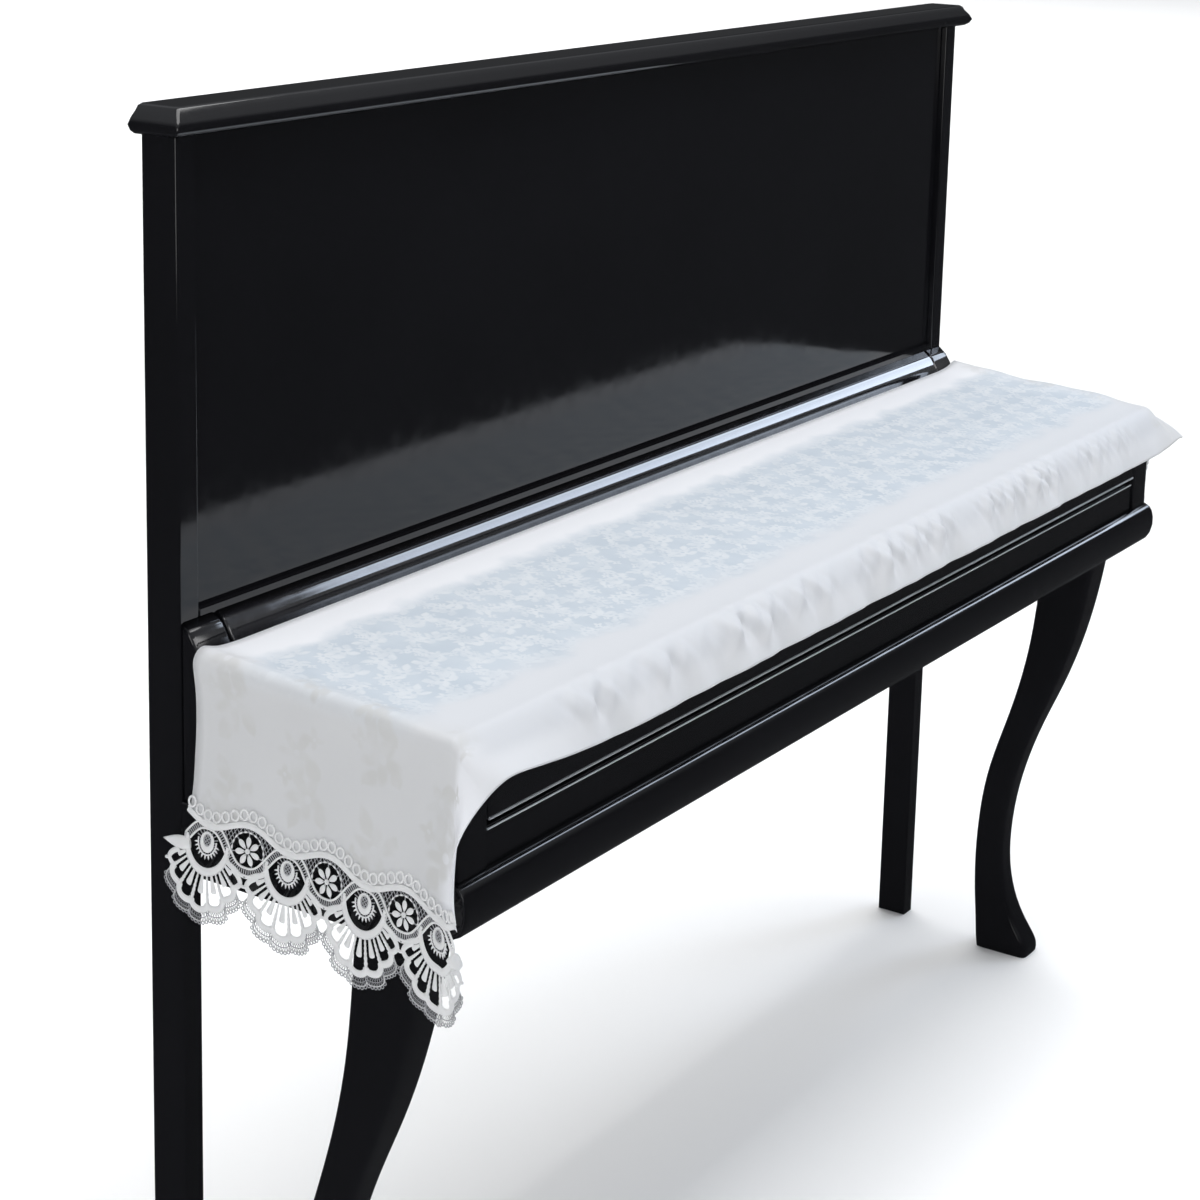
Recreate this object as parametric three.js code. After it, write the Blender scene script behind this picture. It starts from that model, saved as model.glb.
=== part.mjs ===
import * as THREE from 'three';

// All sizes are in millimetres. X runs along the keys, -Y faces the player, Z is up from the floor.

// Case that carries the cover.
const SHELF_Z = 650;
const HALF_WIDTH = 750;
const ARM_WIDTH = 46.5;
const ARM_FRONT_Y = -306;
const LID_FRONT_Y = -305;
const LIP_RADIUS = 10;
const LIP_Z = SHELF_Z + 125;
const LID_SLOPE = 0.06;
const LID_BACK_Y = -23;
const STRIP_TOP_Z = SHELF_Z + 167;
const STRIP_CROWN = 4.5;
const STRIP_STEPS = 2;
const LID_LOW_Z = SHELF_Z + 38;
const ARM_EDGE_RADIUS = 5;
const FIT = 0.3;
const SOFT_EDGE = 2;
const BED_THICK = 68;
const BED_DEEP_Y = -246;
const BED_SOFT = 3;
const LID_REBATE = 5;
const SLIP_FRONT_Y = -303;
const SLIP_STEP = 3;
const BED_OVERHANG = 2;
const PANEL_FRONT_Y = 8;
const PANEL_THICK = 20;
const PANEL_TOP_Z = SHELF_Z + 600;
const RAIL_TOP_Z = SHELF_Z + 173;
const END_THICK = 25;
const END_DEPTH = 40;
const LEG_X = 718;

// Cover.
const CLOTH_THICK = 1.2;
const LACE_THICK = 1;
const REST_GAP = 0.35;
const SEW_GAP = 0.42;
const FOLD_GAP = 0.8;
// Band round the fold where the lace stands off further: offset from the fold, even half width, fade.
const FOLD_BAND = { offset: 8, half: 12, fade: 24 };
const EDGE_LIFT = 1.8;
const CLEAR = REST_GAP + EDGE_LIFT + CLOTH_THICK / 2;
const LIP_TURN = LIP_RADIUS + CLEAR;
const END_TURN = ARM_EDGE_RADIUS + CLEAR;
const LIP_CENTRE_Y = LID_FRONT_Y + LIP_RADIUS - 1;
const END_CENTRE_X = HALF_WIDTH - ARM_EDGE_RADIUS;
const END_RUN = END_CENTRE_X + (END_TURN * Math.PI) / 2;
const FLAT_DEPTH = LID_BACK_Y - LIP_CENTRE_Y;
const LIP_RUN = FLAT_DEPTH + (LIP_TURN * Math.PI) / 4;
const FRONT_DROP = 56.5;
const CLOTH_WIDTH = LIP_RUN + FRONT_DROP;
// The runner lies off centre, so its right end hangs less.
const END_SHIFT = { left: 0, right: 62 };
const FALL_FACTOR = 0.99;
const LIFT_ZONE = 55;
const BACK_DRIFT = 12;
const EVEN_RUN = 100;
const SWAY_RUN = 260;
const FLARE_POWER = 4;
const BEND_SHARE = 0.33;
const PUCKER_REACH = 470;
const PUCKER_FADE = 180;
const PUCKER_END = 600;
const PUCKER_END_FADE = 100;
const PUCKER_LEAST = 0.35;

// Lace repeat, measured along the cut end (across) and down from the arm edge (fall).
const REPEATS = 4;
const REPEAT = 90;
const LACE_START = -20;
const FIRST_EYE = LACE_START + REPEAT / 2;
const BAND_FALL = 137;
const BAND_WAVE = 6.5;
const RING_PITCH = 10;
const EYE_FALL = 158;
const FLOWER_FALL = 154;
const FAN_RADIUS = 78;
const FAN_SIDE_RADIUS = 54;
const FAN_HALF_ANGLE = 0.96;
const FAN_LOBES = 7;
const UNDERLAP = 2;
const LAST_EYE = FIRST_EYE + (REPEATS - 1) * REPEAT;
const HEAD_START = 2;
const HEAD_PAST_EYE = 27;
const HEAD_END = LAST_EYE + HEAD_PAST_EYE;
const RING_RADIUS = 2.9;
const RING_TOP = 14;
const PETALS = 7;
const CRESCENT = { half: 20, deep: 24.5, eyeHalf: 15, eyeDeep: 17, reach: 1.35, steps: 6 };
const LOOP = { at: 0.71, sideAt: 0.78, half: 4.4, deep: 5, taper: 0.2 };
// Trimmed end of the lace. Columns: distance from the last eye, fall.
const TRIM = [[33, 144], [40, 160], [49, 171], [38, 176]];
// One lobe of the fan edge. Columns: share of the lobe from its middle, dip.
const LOBE = [[-0.38, 2.6], [0, 0], [0.38, 2.6]];
// Gap between two petals. Columns: radius, turn.
const PETAL_GAP = [[5.5, 0], [12.5, 0.28], [16.4, 0], [12.5, -0.28]];
// Gap above the point where two fans meet. Columns: distance from the flower, fall.
const FAN_JOIN_GAP = [[-5, 177.5], [0, 185], [5, 177.5]];
const SEWN_MARGIN = 8;
const SEWN_TOLERANCE = 0.34;
const FREE_TOLERANCE = 1.7;

// Front corner at the two ends: how the fold line and the front hem run past the end of the arm.
// Columns: run past the arm edge, distance from the middle (x), distance before the arm (fore), height (z).
const FOLD = {
  left: [
    [0, 752.7, -1, 116], [30, 760, 5, 87], [60, 769, 11, 59], [90, 777, 15, 30], [120, 782, 17, 2],
    [150, 784, 17, -26], [200, 786, 15, -74], [260, 787, 13, -132],
  ],
  right: [
    [0, 752.7, -1, 116], [10, 764, 13, 107], [22, 779, 26, 92], [34, 784, 6, 82], [48, 784, -10, 68],
    [70, 783, -16, 46], [100, 781, -18, 16], [260, 778, -18, -142],
  ],
};
const HEM = {
  left: [
    [-330, 427, 24, 75], [-216, 541, 24, 76], [-139, 611, 27, 81], [-85, 664, 30, 88], [-43, 706, 31, 93],
    [-23, 726, 31, 92], [-4, 743, 28, 84], [26, 767, 25, 67], [49, 783, 24, 50], [75, 789, 24, 26],
    [100, 787, 24, 3], [125, 779, 22, -19], [155, 770, 19, -46], [200, 764, 17, -88], [260, 760, 15, -146],
  ],
  right: [
    [-330, 427, 24, 75], [-216, 541, 24, 75], [-100, 657, 25, 75], [-40, 716, 26, 76], [-10, 746, 30, 82],
    [8, 768, 33, 88], [22, 784, 31, 86], [34, 786, 14, 78], [48, 781, -6, 64], [70, 771, -28, 44],
    [100, 764, -42, 14], [140, 762, -46, -26], [260, 761, -46, -145],
  ],
};
// Where the fold line runs in the flat cloth. Columns: run past the arm edge, distance from the back edge.
const FOLD_ACROSS = {
  left: [[0, LIP_RUN], [40, LIP_RUN + 7], [110, LIP_RUN + 18], [260, LIP_RUN + 20]],
  right: [
    [0, LIP_RUN], [10, LIP_RUN + 24], [22, CLOTH_WIDTH - 7], [45, CLOTH_WIDTH - 16], [90, LIP_RUN + 20],
    [260, LIP_RUN + 20],
  ],
};
// Loose folds of the hanging ends. Columns: outward sway, waves across the end, phase.
const END_SWAY = {
  left: { lean: 13, sway: 2.4, waves: 1.6, phase: 0.6 },
  right: { lean: 9, sway: 3.6, waves: 1.7, phase: 1.9 },
};
// Soft puckers of the front overhang. Columns: wave length, forward swing, rise of the hem, phase.
const PUCKERS = [
  [173, 2.6, 1.2, 0.4],
  [97, 2.2, 1.3, 2.1],
  [61, 1.5, 0.7, 4.0],
];

const mix = (a, b, t) => a + (b - a) * t;
const clamp01 = (t) => Math.min(1, Math.max(0, t));
const smooth = (t) => {
  const u = clamp01(t);
  return u * u * (3 - 2 * u);
};

// Smooth reading of one column of a table whose first column rises.
function read(table, key, column) {
  const last = table.length - 1;
  if (key <= table[0][0]) return table[0][column];
  if (key >= table[last][0]) return table[last][column];
  let i = 0;
  while (table[i + 1][0] < key) i += 1;
  const slope = (k) => {
    const lo = table[Math.max(0, k - 1)];
    const hi = table[Math.min(last, k + 1)];
    return (hi[column] - lo[column]) / (hi[0] - lo[0]);
  };
  const span = table[i + 1][0] - table[i][0];
  const t = (key - table[i][0]) / span;
  const t2 = t * t;
  const t3 = t2 * t;
  return (2 * t3 - 3 * t2 + 1) * table[i][column] + (t3 - 2 * t2 + t) * span * slope(i)
    + (3 * t2 - 2 * t3) * table[i + 1][column] + (t3 - t2) * span * slope(i + 1);
}

const lidTop = (y) => LIP_Z + (y - LIP_CENTRE_Y) * LID_SLOPE;

// Distance of the fold (or the lip on top) from the back edge of the flat cloth.
const foldAcross = (end, run) => read(FOLD_ACROSS[end], run, 1);

function acrossToRow(end, run, across) {
  const fold = foldAcross(end, run);
  if (across <= fold) return across / fold;
  return 1 + (across - fold) / (CLOTH_WIDTH - fold);
}

// Cloth on the lid, from the back edge (row 0) to the middle of the lip turn (row 1).
function onLid(along, row) {
  const across = row * LIP_RUN;
  const turn = Math.max(0, across - FLAT_DEPTH) / LIP_TURN;
  const y = LID_BACK_Y - Math.min(across, FLAT_DEPTH) - LIP_TURN * Math.sin(turn);
  const nearEnd = smooth((Math.abs(along) - END_CENTRE_X + LIFT_ZONE) / LIFT_ZONE);
  const nearLip = smooth((across - FLAT_DEPTH + LIFT_ZONE) / LIFT_ZONE);
  const lift = EDGE_LIFT * (1 - (1 - nearEnd) * (1 - nearLip));
  const flatY = Math.max(y, LIP_CENTRE_Y);
  const z = lidTop(flatY) + REST_GAP + CLOTH_THICK / 2 + lift - LIP_TURN * (1 - Math.cos(turn));
  return new THREE.Vector3(along, y, z);
}

// Cloth past the arm edge, up to the fold line (row 1).
function onEnd(end, run, row) {
  const top = onLid(END_CENTRE_X, row);
  const side = END_SWAY[end];
  const first = onLid(END_CENTRE_X, 0).y;
  const last = onLid(END_CENTRE_X, 1).y;
  const backY = LID_BACK_Y + BACK_DRIFT * smooth((run - EVEN_RUN) / (SWAY_RUN - EVEN_RUN));
  const foldY = ARM_FRONT_Y - read(FOLD[end], run, 2);
  const even = smooth(run / EVEN_RUN);
  const share = mix((top.y - first) / (last - first), row, even);
  const near = row > 0 ? row ** FLARE_POWER : 0;
  const hang = smooth(run / SWAY_RUN);
  const wave = 1 + Math.sin(2 * Math.PI * side.waves * row + side.phase);
  const calm = (1 - near) * hang;
  const lean = END_CENTRE_X + END_TURN + side.lean * hang + side.sway * wave * calm;
  const x = mix(lean, read(FOLD[end], run, 1), near);
  const dropZ = top.z - END_TURN - FALL_FACTOR * run;
  const atFold = onLid(END_CENTRE_X, 1).z - END_TURN - FALL_FACTOR * run;
  const z = dropZ + (SHELF_Z + read(FOLD[end], run, 3) - atFold) * near;
  return new THREE.Vector3(x, mix(backY, foldY, share), z);
}

function upToFold(end, run, row) {
  if (run >= 0) return onEnd(end, run, row);
  const along = END_RUN + run;
  if (along <= END_CENTRE_X) return onLid(along, row);
  const turn = (along - END_CENTRE_X) / END_TURN;
  const p = onLid(END_CENTRE_X, row);
  p.x += END_TURN * Math.sin(turn);
  p.z -= END_TURN * (1 - Math.cos(turn));
  return p;
}

// Front hem: straight along the lid with soft puckers, then round the corner.
function hemPoint(end, run) {
  const straight = HEM[end][1][0];
  const x = run < straight ? END_RUN + run : read(HEM[end], run, 1);
  const along = end === 'left' ? -x : x;
  const middle = 1 - smooth((x - PUCKER_REACH) / PUCKER_FADE);
  const strength = mix(PUCKER_LEAST, 1, middle) * (1 - smooth((x - PUCKER_END) / PUCKER_END_FADE));
  let fore = read(HEM[end], run, 2);
  let z = SHELF_Z + read(HEM[end], run, 3);
  for (const [length, swing, rise, phase] of PUCKERS) {
    const wave = strength * Math.sin((2 * Math.PI * along) / length + phase);
    fore += swing * wave;
    z += rise * wave;
  }
  return new THREE.Vector3(x, ARM_FRONT_Y - fore, z);
}

// Middle of the cloth: run past the arm edge, and row 0 at the back edge, 1 at the fold, 2 at the hem.
function drape(end, run, row) {
  const mirror = end === 'left' ? -1 : 1;
  let p;
  if (row <= 1) {
    p = upToFold(end, run, row);
  } else {
    const start = upToFold(end, run, 1);
    const before = upToFold(end, run, 0.99);
    const hem = hemPoint(end, run);
    const lead = start.clone().sub(before).normalize().multiplyScalar(BEND_SHARE * start.distanceTo(hem));
    const bend = start.clone().add(lead);
    const t = row - 1;
    p = start.multiplyScalar((1 - t) ** 2).addScaledVector(bend, 2 * t * (1 - t)).addScaledVector(hem, t * t);
  }
  p.x *= mirror;
  return p;
}

const STEP = 0.4;
function drapeNormal(end, run, row) {
  const rowStep = STEP / LIP_RUN;
  const r0 = Math.min(row, 2 - rowStep);
  const alongRun = drape(end, run + STEP, row).sub(drape(end, run - STEP, row));
  const alongRow = drape(end, run, r0 + rowStep).sub(drape(end, run, r0 - rowStep));
  const normal = alongRow.cross(alongRun).normalize();
  return end === 'left' ? normal.negate() : normal;
}

// Closed sheet from flat triangles: each corner is carried to both faces, and open edges are walled.
function sheet(corners, triangles) {
  const count = corners.length;
  const positions = new Float32Array(count * 6);
  corners.forEach(({ front, back }, i) => {
    front.toArray(positions, i * 3);
    back.toArray(positions, (count + i) * 3);
  });
  const edges = new Map();
  const faces = [];
  for (const [a, b, c] of triangles) {
    faces.push(a, b, c, count + c, count + b, count + a);
    for (const [p, q] of [[a, b], [b, c], [c, a]]) {
      if (!edges.delete(`${q},${p}`)) edges.set(`${p},${q}`, [p, q]);
    }
  }
  for (const [p, q] of edges.values()) {
    faces.push(q, p, count + p, q, count + p, count + q);
  }
  const geometry = new THREE.BufferGeometry();
  geometry.setAttribute('position', new THREE.BufferAttribute(positions, 3));
  geometry.setIndex(outward(positions, faces));
  geometry.computeVertexNormals();
  return geometry;
}

function outward(positions, faces) {
  const at = (i) => new THREE.Vector3().fromArray(positions, i * 3);
  let volume = 0;
  for (let i = 0; i < faces.length; i += 3) {
    volume += at(faces[i]).dot(at(faces[i + 1]).cross(at(faces[i + 2])));
  }
  return volume < 0 ? faces.reverse() : faces;
}

const bandFall = (across) => BAND_FALL + BAND_WAVE * Math.cos((2 * Math.PI * (across - FIRST_EYE)) / REPEAT);

// Triangles between two neighbouring columns whose rows need not match.
function bridge(left, right) {
  const triangles = [];
  let i = 0;
  let j = 0;
  while (i + 1 < left.length || j + 1 < right.length) {
    const nextLeft = i + 1 < left.length ? left[i + 1].row : Infinity;
    const nextRight = j + 1 < right.length ? right[j + 1].row : Infinity;
    if (nextLeft < nextRight) {
      triangles.push([left[i].id, right[j].id, left[i + 1].id]);
      i += 1;
    } else {
      triangles.push([left[i].id, right[j].id, right[j + 1].id]);
      j += 1;
    }
  }
  return triangles;
}

// Runner: columns from the left end to the right end, rows from the back edge to the front hem.
function coverCloth() {
  const hangRows = [
    0, 0.1, 0.2, 0.3, 0.4, 0.5, 0.6, 0.69, 0.77, 0.84, 0.9, 0.95, 0.98, 1,
    1.06, 1.13, 1.22, 1.36, 1.58, 1.8, 2,
  ];
  const lidRows = [0, 0.5, 0.87, 0.95, 0.98, 1, 1.13, 1.36, 1.65, 2];
  const endShares = [1, 0.92, 0.84, 0.75, 0.66, 0.57, 0.48, 0.39, 0.3, 0.21, 0.13, 0.06, 0];
  const turnShares = [0.33, 0.67];
  const topSteps = 60;
  const endColumns = (end) => [
    ...endShares.map((share) => ({ end, share, rows: hangRows })),
    ...turnShares.map((share) => ({ end, run: -share * (END_RUN - END_CENTRE_X), rows: hangRows })),
  ];
  const columns = endColumns('left');
  for (let i = 0; i <= topSteps; i += 1) {
    const x = mix(-END_CENTRE_X, END_CENTRE_X, i / topSteps);
    columns.push({ end: x < 0 ? 'left' : 'right', run: Math.abs(x) - END_RUN, rows: lidRows });
  }
  columns.push(...endColumns('right').reverse());
  const corners = [];
  const lines = columns.map(({ end, share, run, rows }) => rows.map((row) => {
    const fold = foldAcross(end, BAND_FALL - END_SHIFT[end]);
    const across = row <= 1 ? row * fold : mix(fold, CLOTH_WIDTH, row - 1);
    const cut = bandFall(across) + UNDERLAP - END_SHIFT[end];
    const at = share === undefined ? run : share * cut;
    const p = drape(end, at, row);
    const n = drapeNormal(end, at, row).multiplyScalar(CLOTH_THICK / 2);
    const id = corners.push({ front: p.clone().add(n), back: p.clone().sub(n) }) - 1;
    return { row, id };
  }));
  const triangles = [];
  for (let i = 0; i + 1 < lines.length; i += 1) triangles.push(...bridge(lines[i], lines[i + 1]));
  return sheet(corners, triangles);
}

const flat = (across, fall) => new THREE.Vector2(across, fall);

function ringPlaces() {
  const places = [];
  for (let across = HEAD_START; across <= HEAD_END; across += RING_PITCH) places.push(across);
  return places;
}

function fanRadius(angle) {
  return mix(FAN_RADIUS, FAN_SIDE_RADIUS, (angle / FAN_HALF_ANGLE) ** 2);
}

// Angle of a place in one lobe; the middles of the first and the last lobe lie at the sides of the fan.
function lobeAngle(k, share) {
  return FAN_HALF_ANGLE * (1 - (2 * (k + share)) / (FAN_LOBES - 1));
}

// Outline of the lace: ring heading on top, trimmed ends, lobed fans below.
function laceOutline() {
  const points = [];
  for (const across of ringPlaces()) {
    const top = bandFall(across) - RING_TOP;
    const half = RING_RADIUS - 0.5;
    points.push(flat(across - half, top), flat(across + half, top));
    points.push(flat(across + RING_PITCH / 2, top + RING_RADIUS + 1));
  }
  points.push(...TRIM.map(([aside, fall]) => flat(LAST_EYE + aside, fall)));
  for (let i = REPEATS - 1; i >= 0; i -= 1) {
    const eye = FIRST_EYE + i * REPEAT;
    for (let k = 0; k < FAN_LOBES; k += 1) {
      for (const [share, dip] of LOBE) {
        const angle = lobeAngle(k, share);
        if (Math.abs(angle) > FAN_HALF_ANGLE) continue;
        const radius = fanRadius(angle) - dip;
        points.push(flat(eye + radius * Math.sin(angle), EYE_FALL + radius * Math.cos(angle)));
      }
    }
  }
  points.push(...[...TRIM].reverse().map(([aside, fall]) => flat(FIRST_EYE - aside, fall)));
  return points;
}

const ring = (sides, at) => Array.from({ length: sides }, (_, k) => at((2 * Math.PI * k) / sides));

// Open spaces wider than 4 mm: heading rings, crescent under each eye, finger loops, round each flower.
function laceGaps() {
  const gaps = [];
  for (const across of ringPlaces()) {
    const fall = bandFall(across) - RING_TOP + RING_RADIUS + 2;
    gaps.push(ring(5, (t) => flat(across + RING_RADIUS * Math.sin(t), fall + RING_RADIUS * Math.cos(t))));
  }
  for (let i = 0; i < REPEATS; i += 1) {
    const eye = FIRST_EYE + i * REPEAT;
    const arc = (half, deep, k) => {
      const angle = mix(-CRESCENT.reach, CRESCENT.reach, k / CRESCENT.steps);
      return flat(eye + half * Math.sin(angle), EYE_FALL + deep * Math.cos(angle));
    };
    const crescent = [];
    for (let k = 0; k <= CRESCENT.steps; k += 1) crescent.push(arc(CRESCENT.half, CRESCENT.deep, k));
    for (let k = CRESCENT.steps - 1; k >= 1; k -= 1) {
      crescent.push(arc(CRESCENT.eyeHalf, CRESCENT.eyeDeep, k));
    }
    gaps.push(crescent);
    for (let k = 0; k < FAN_LOBES; k += 1) {
      const angle = lobeAngle(k, 0);
      const out = flat(Math.sin(angle), Math.cos(angle));
      const aside = flat(Math.cos(angle), -Math.sin(angle));
      const at = mix(LOOP.at, LOOP.sideAt, (angle / FAN_HALF_ANGLE) ** 2);
      const half = (LOOP.half * fanRadius(angle)) / FAN_RADIUS;
      const middle = flat(eye, EYE_FALL).addScaledVector(out, at * fanRadius(angle));
      gaps.push(ring(6, (t) => {
        const width = half * Math.sin(t) * (1 + LOOP.taper * Math.cos(t));
        return middle.clone().addScaledVector(out, LOOP.deep * Math.cos(t)).addScaledVector(aside, width);
      }));
    }
    if (i + 1 < REPEATS) {
      const flower = eye + REPEAT / 2;
      for (let k = 0; k < PETALS; k += 1) {
        gaps.push(PETAL_GAP.map(([radius, turn]) => {
          const angle = (k * 2 * Math.PI) / PETALS + turn;
          return flat(flower + radius * Math.sin(angle), FLOWER_FALL + radius * Math.cos(angle));
        }));
      }
      gaps.push(FAN_JOIN_GAP.map(([aside, fall]) => flat(flower + aside, fall)));
    }
  }
  return gaps;
}

// Splits flat triangles until the middle of every edge lies on the draped surface.
function refine(points, triangles, place, tolerance) {
  let list = triangles;
  for (let pass = 0; pass < 5; pass += 1) {
    const placed = points.map(place);
    const middles = new Map();
    const split = (p, q) => {
      const key = p < q ? `${p},${q}` : `${q},${p}`;
      if (!middles.has(key)) {
        const middle = points[p].clone().add(points[q]).multiplyScalar(0.5);
        const chord = placed[p].clone().add(placed[q]).multiplyScalar(0.5);
        const off = place(middle).distanceTo(chord);
        middles.set(key, off > tolerance(middle) ? points.push(middle) - 1 : -1);
      }
      return middles.get(key);
    };
    const next = [];
    for (const [a, b, c] of list) {
      const ab = split(a, b);
      const bc = split(b, c);
      const ca = split(c, a);
      const loop = [a, ab, b, bc, c, ca].filter((v) => v >= 0);
      if (loop.length === 3) next.push([a, b, c]);
      else if (loop.length === 6) next.push([a, ab, ca], [ab, b, bc], [bc, c, ca], [ab, bc, ca]);
      else if (loop.length === 4) {
        if (ab >= 0) next.push([a, ab, c], [ab, b, c]);
        else if (bc >= 0) next.push([a, b, bc], [a, bc, c]);
        else next.push([a, b, ca], [b, c, ca]);
      } else if (ab < 0) next.push([c, ca, bc], [a, b, bc], [a, bc, ca]);
      else if (bc < 0) next.push([a, ab, ca], [b, c, ca], [b, ca, ab]);
      else next.push([b, bc, ab], [c, a, ab], [c, ab, bc]);
    }
    const grew = next.length > list.length;
    list = next;
    if (!grew) break;
  }
  return list;
}

function laceTrim(end) {
  const outline = laceOutline();
  const gaps = laceGaps();
  const whole = new THREE.Shape(outline);
  whole.holes = gaps.map((gap) => new THREE.Path(gap));
  const { shape, holes } = whole.extractPoints(1);
  if (!THREE.ShapeUtils.isClockWise(shape)) shape.reverse();
  const loops = holes.map((hole) => (THREE.ShapeUtils.isClockWise(hole) ? hole.reverse() : hole));
  const faces = THREE.ShapeUtils.triangulateShape(shape, loops);
  const points = [...shape, ...loops.flat()];
  const lift = (across) => {
    const fold = foldAcross(end, BAND_FALL - END_SHIFT[end]);
    const beyond = Math.abs(across - fold - FOLD_BAND.offset) - FOLD_BAND.half;
    const nearFold = 1 - smooth(beyond / FOLD_BAND.fade);
    return CLOTH_THICK / 2 + SEW_GAP + LACE_THICK / 2 + FOLD_GAP * nearFold;
  };
  const runOf = (p) => p.y - END_SHIFT[end];
  const rowOf = (p) => Math.min(acrossToRow(end, runOf(p), p.x), 2);
  const place = (p) => {
    const normal = drapeNormal(end, runOf(p), rowOf(p));
    return drape(end, runOf(p), rowOf(p)).addScaledVector(normal, lift(p.x));
  };
  const sewn = (p) => p.y < BAND_FALL + BAND_WAVE + SEWN_MARGIN;
  const triangles = refine(points, faces, place, (p) => (sewn(p) ? SEWN_TOLERANCE : FREE_TOLERANCE));
  const corners = points.map((p) => {
    const middle = place(p);
    const n = drapeNormal(end, runOf(p), rowOf(p)).multiplyScalar(LACE_THICK / 2);
    return { front: middle.clone().add(n), back: middle.sub(n) };
  });
  return sheet(corners, triangles);
}

// Board with softened edges: an outline in (Y, Z) drawn along X.
function board(outline, x0, x1, soft = SOFT_EDGE) {
  const shape = new THREE.Shape(outline.map(([y, z]) => new THREE.Vector2(y, z)));
  const geometry = new THREE.ExtrudeGeometry(shape, {
    depth: x1 - x0 - 2 * soft,
    bevelEnabled: soft > 0,
    bevelThickness: soft,
    bevelSize: soft,
    bevelOffset: -soft,
    bevelSegments: 2,
    curveSegments: 6,
  });
  const turned = new THREE.Matrix4().makeBasis(
    new THREE.Vector3(0, 1, 0),
    new THREE.Vector3(0, 0, 1),
    new THREE.Vector3(1, 0, 0),
  );
  return geometry.applyMatrix4(turned).translate(x0 + soft, 0, 0);
}

const rectangle = (y0, y1, z0, z1) => [[y0, z0], [y1, z0], [y1, z1], [y0, z1]];

// Side view of the lid and arms: front face, rounded lip, gently sloped top, steeper strip at the back.
function shelfOutline(frontY, lowZ, rebate) {
  const points = [[-FIT, lowZ]];
  const footY = LID_BACK_Y + 1;
  for (let i = 0; i <= STRIP_STEPS; i += 1) {
    const t = i / STRIP_STEPS;
    const crown = STRIP_CROWN * 4 * t * (1 - t);
    points.push([mix(-FIT, footY, t), mix(STRIP_TOP_Z, lidTop(footY), t) + crown]);
  }
  const steps = 5;
  for (let i = 0; i <= steps; i += 1) {
    const turn = (Math.PI / 2) * (i / steps);
    const y = LIP_CENTRE_Y - (LIP_CENTRE_Y - frontY) * Math.sin(turn);
    points.push([y, LIP_Z - LIP_RADIUS * (1 - Math.cos(turn))]);
  }
  if (rebate > 0) points.push([frontY, lowZ + rebate], [frontY + rebate, lowZ + rebate]);
  points.push([frontY + rebate, lowZ]);
  return points;
}

function bedOutline() {
  const nose = [
    [-306, 0], [-312, -3], [-316, -9], [-318, -17], [-318, -27], [-315, -38], [-310, -46], [-302, -50],
  ];
  const points = nose.map(([y, z]) => [y, SHELF_Z + z]);
  return [[-FIT, SHELF_Z], ...points, [BED_DEEP_Y, SHELF_Z - BED_THICK], [-FIT, SHELF_Z - BED_THICK]];
}

// Solid drawn through closed sections with the same number of points.
function loft(sections) {
  const sides = sections[0].length;
  const positions = new Float32Array(sections.flat().flatMap((p) => p.toArray()));
  const faces = [];
  for (let s = 0; s + 1 < sections.length; s += 1) {
    for (let k = 0; k < sides; k += 1) {
      const a = s * sides + k;
      const b = s * sides + ((k + 1) % sides);
      faces.push(a, b, b + sides, a, b + sides, a + sides);
    }
  }
  const top = (sections.length - 1) * sides;
  for (let k = 1; k + 1 < sides; k += 1) faces.push(0, k + 1, k, top, top + k, top + k + 1);
  const geometry = new THREE.BufferGeometry();
  geometry.setAttribute('position', new THREE.BufferAttribute(positions, 3));
  geometry.setIndex(outward(positions, faces));
  geometry.computeVertexNormals();
  return geometry;
}

// Rectangle with eased corners at one height.
function easedSection(x0, x1, y0, y1, z, ease) {
  const points = [];
  const corners = [[x1, y1, 0], [x0, y1, 1], [x0, y0, 2], [x1, y0, 3]];
  for (const [x, y, quarter] of corners) {
    const cx = x === x1 ? x1 - ease : x0 + ease;
    const cy = y === y1 ? y1 - ease : y0 + ease;
    for (const share of [0, 1 / 3, 2 / 3, 1]) {
      const angle = (quarter + share) * (Math.PI / 2);
      points.push(new THREE.Vector3(cx + ease * Math.cos(angle), cy + ease * Math.sin(angle), z));
    }
  }
  return points;
}

// Curved front leg. Columns: height against the shelf, front, back, half width, corner ease.
const LEG_SECTIONS = [
  [-650, -198, -124, 22, 8], [-636, -200, -122, 23, 8], [-612, -182, -120, 21, 8], [-575, -163, -115, 18, 7],
  [-520, -152, -112, 17, 7], [-450, -156, -116, 18, 7], [-390, -168, -126, 19, 7], [-324, -190, -148, 21, 8],
  [-264, -217, -166, 23, 8], [-200, -239, -179, 25, 9], [-137, -254, -186, 27, 9], [-85, -262, -190, 28, 9],
  [-BED_THICK - FIT, -264, -191, 29, 9],
];

function frontLeg(side) {
  return loft(LEG_SECTIONS.map(([height, front, back, half, ease]) => (
    easedSection(side * LEG_X - half, side * LEG_X + half, front, back, SHELF_Z + height, ease)
  )));
}

// Top lid with its moulded rim. Columns: height above the panel, reach sideways, front, back.
const TOP_LID_SECTIONS = [
  [0, 759, -9, 41], [3, 763, -14, 42], [8, 765, -17, 43], [14, 762, -14, 42],
  [20, 757, -9, 41], [24, 755, -7, 40], [26, 752, -4, 38],
];

function topLid() {
  return loft(TOP_LID_SECTIONS.map(([height, reach, front, back]) => (
    easedSection(-reach, reach, front, back, PANEL_TOP_Z + FIT + height, 3)
  )));
}

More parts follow.
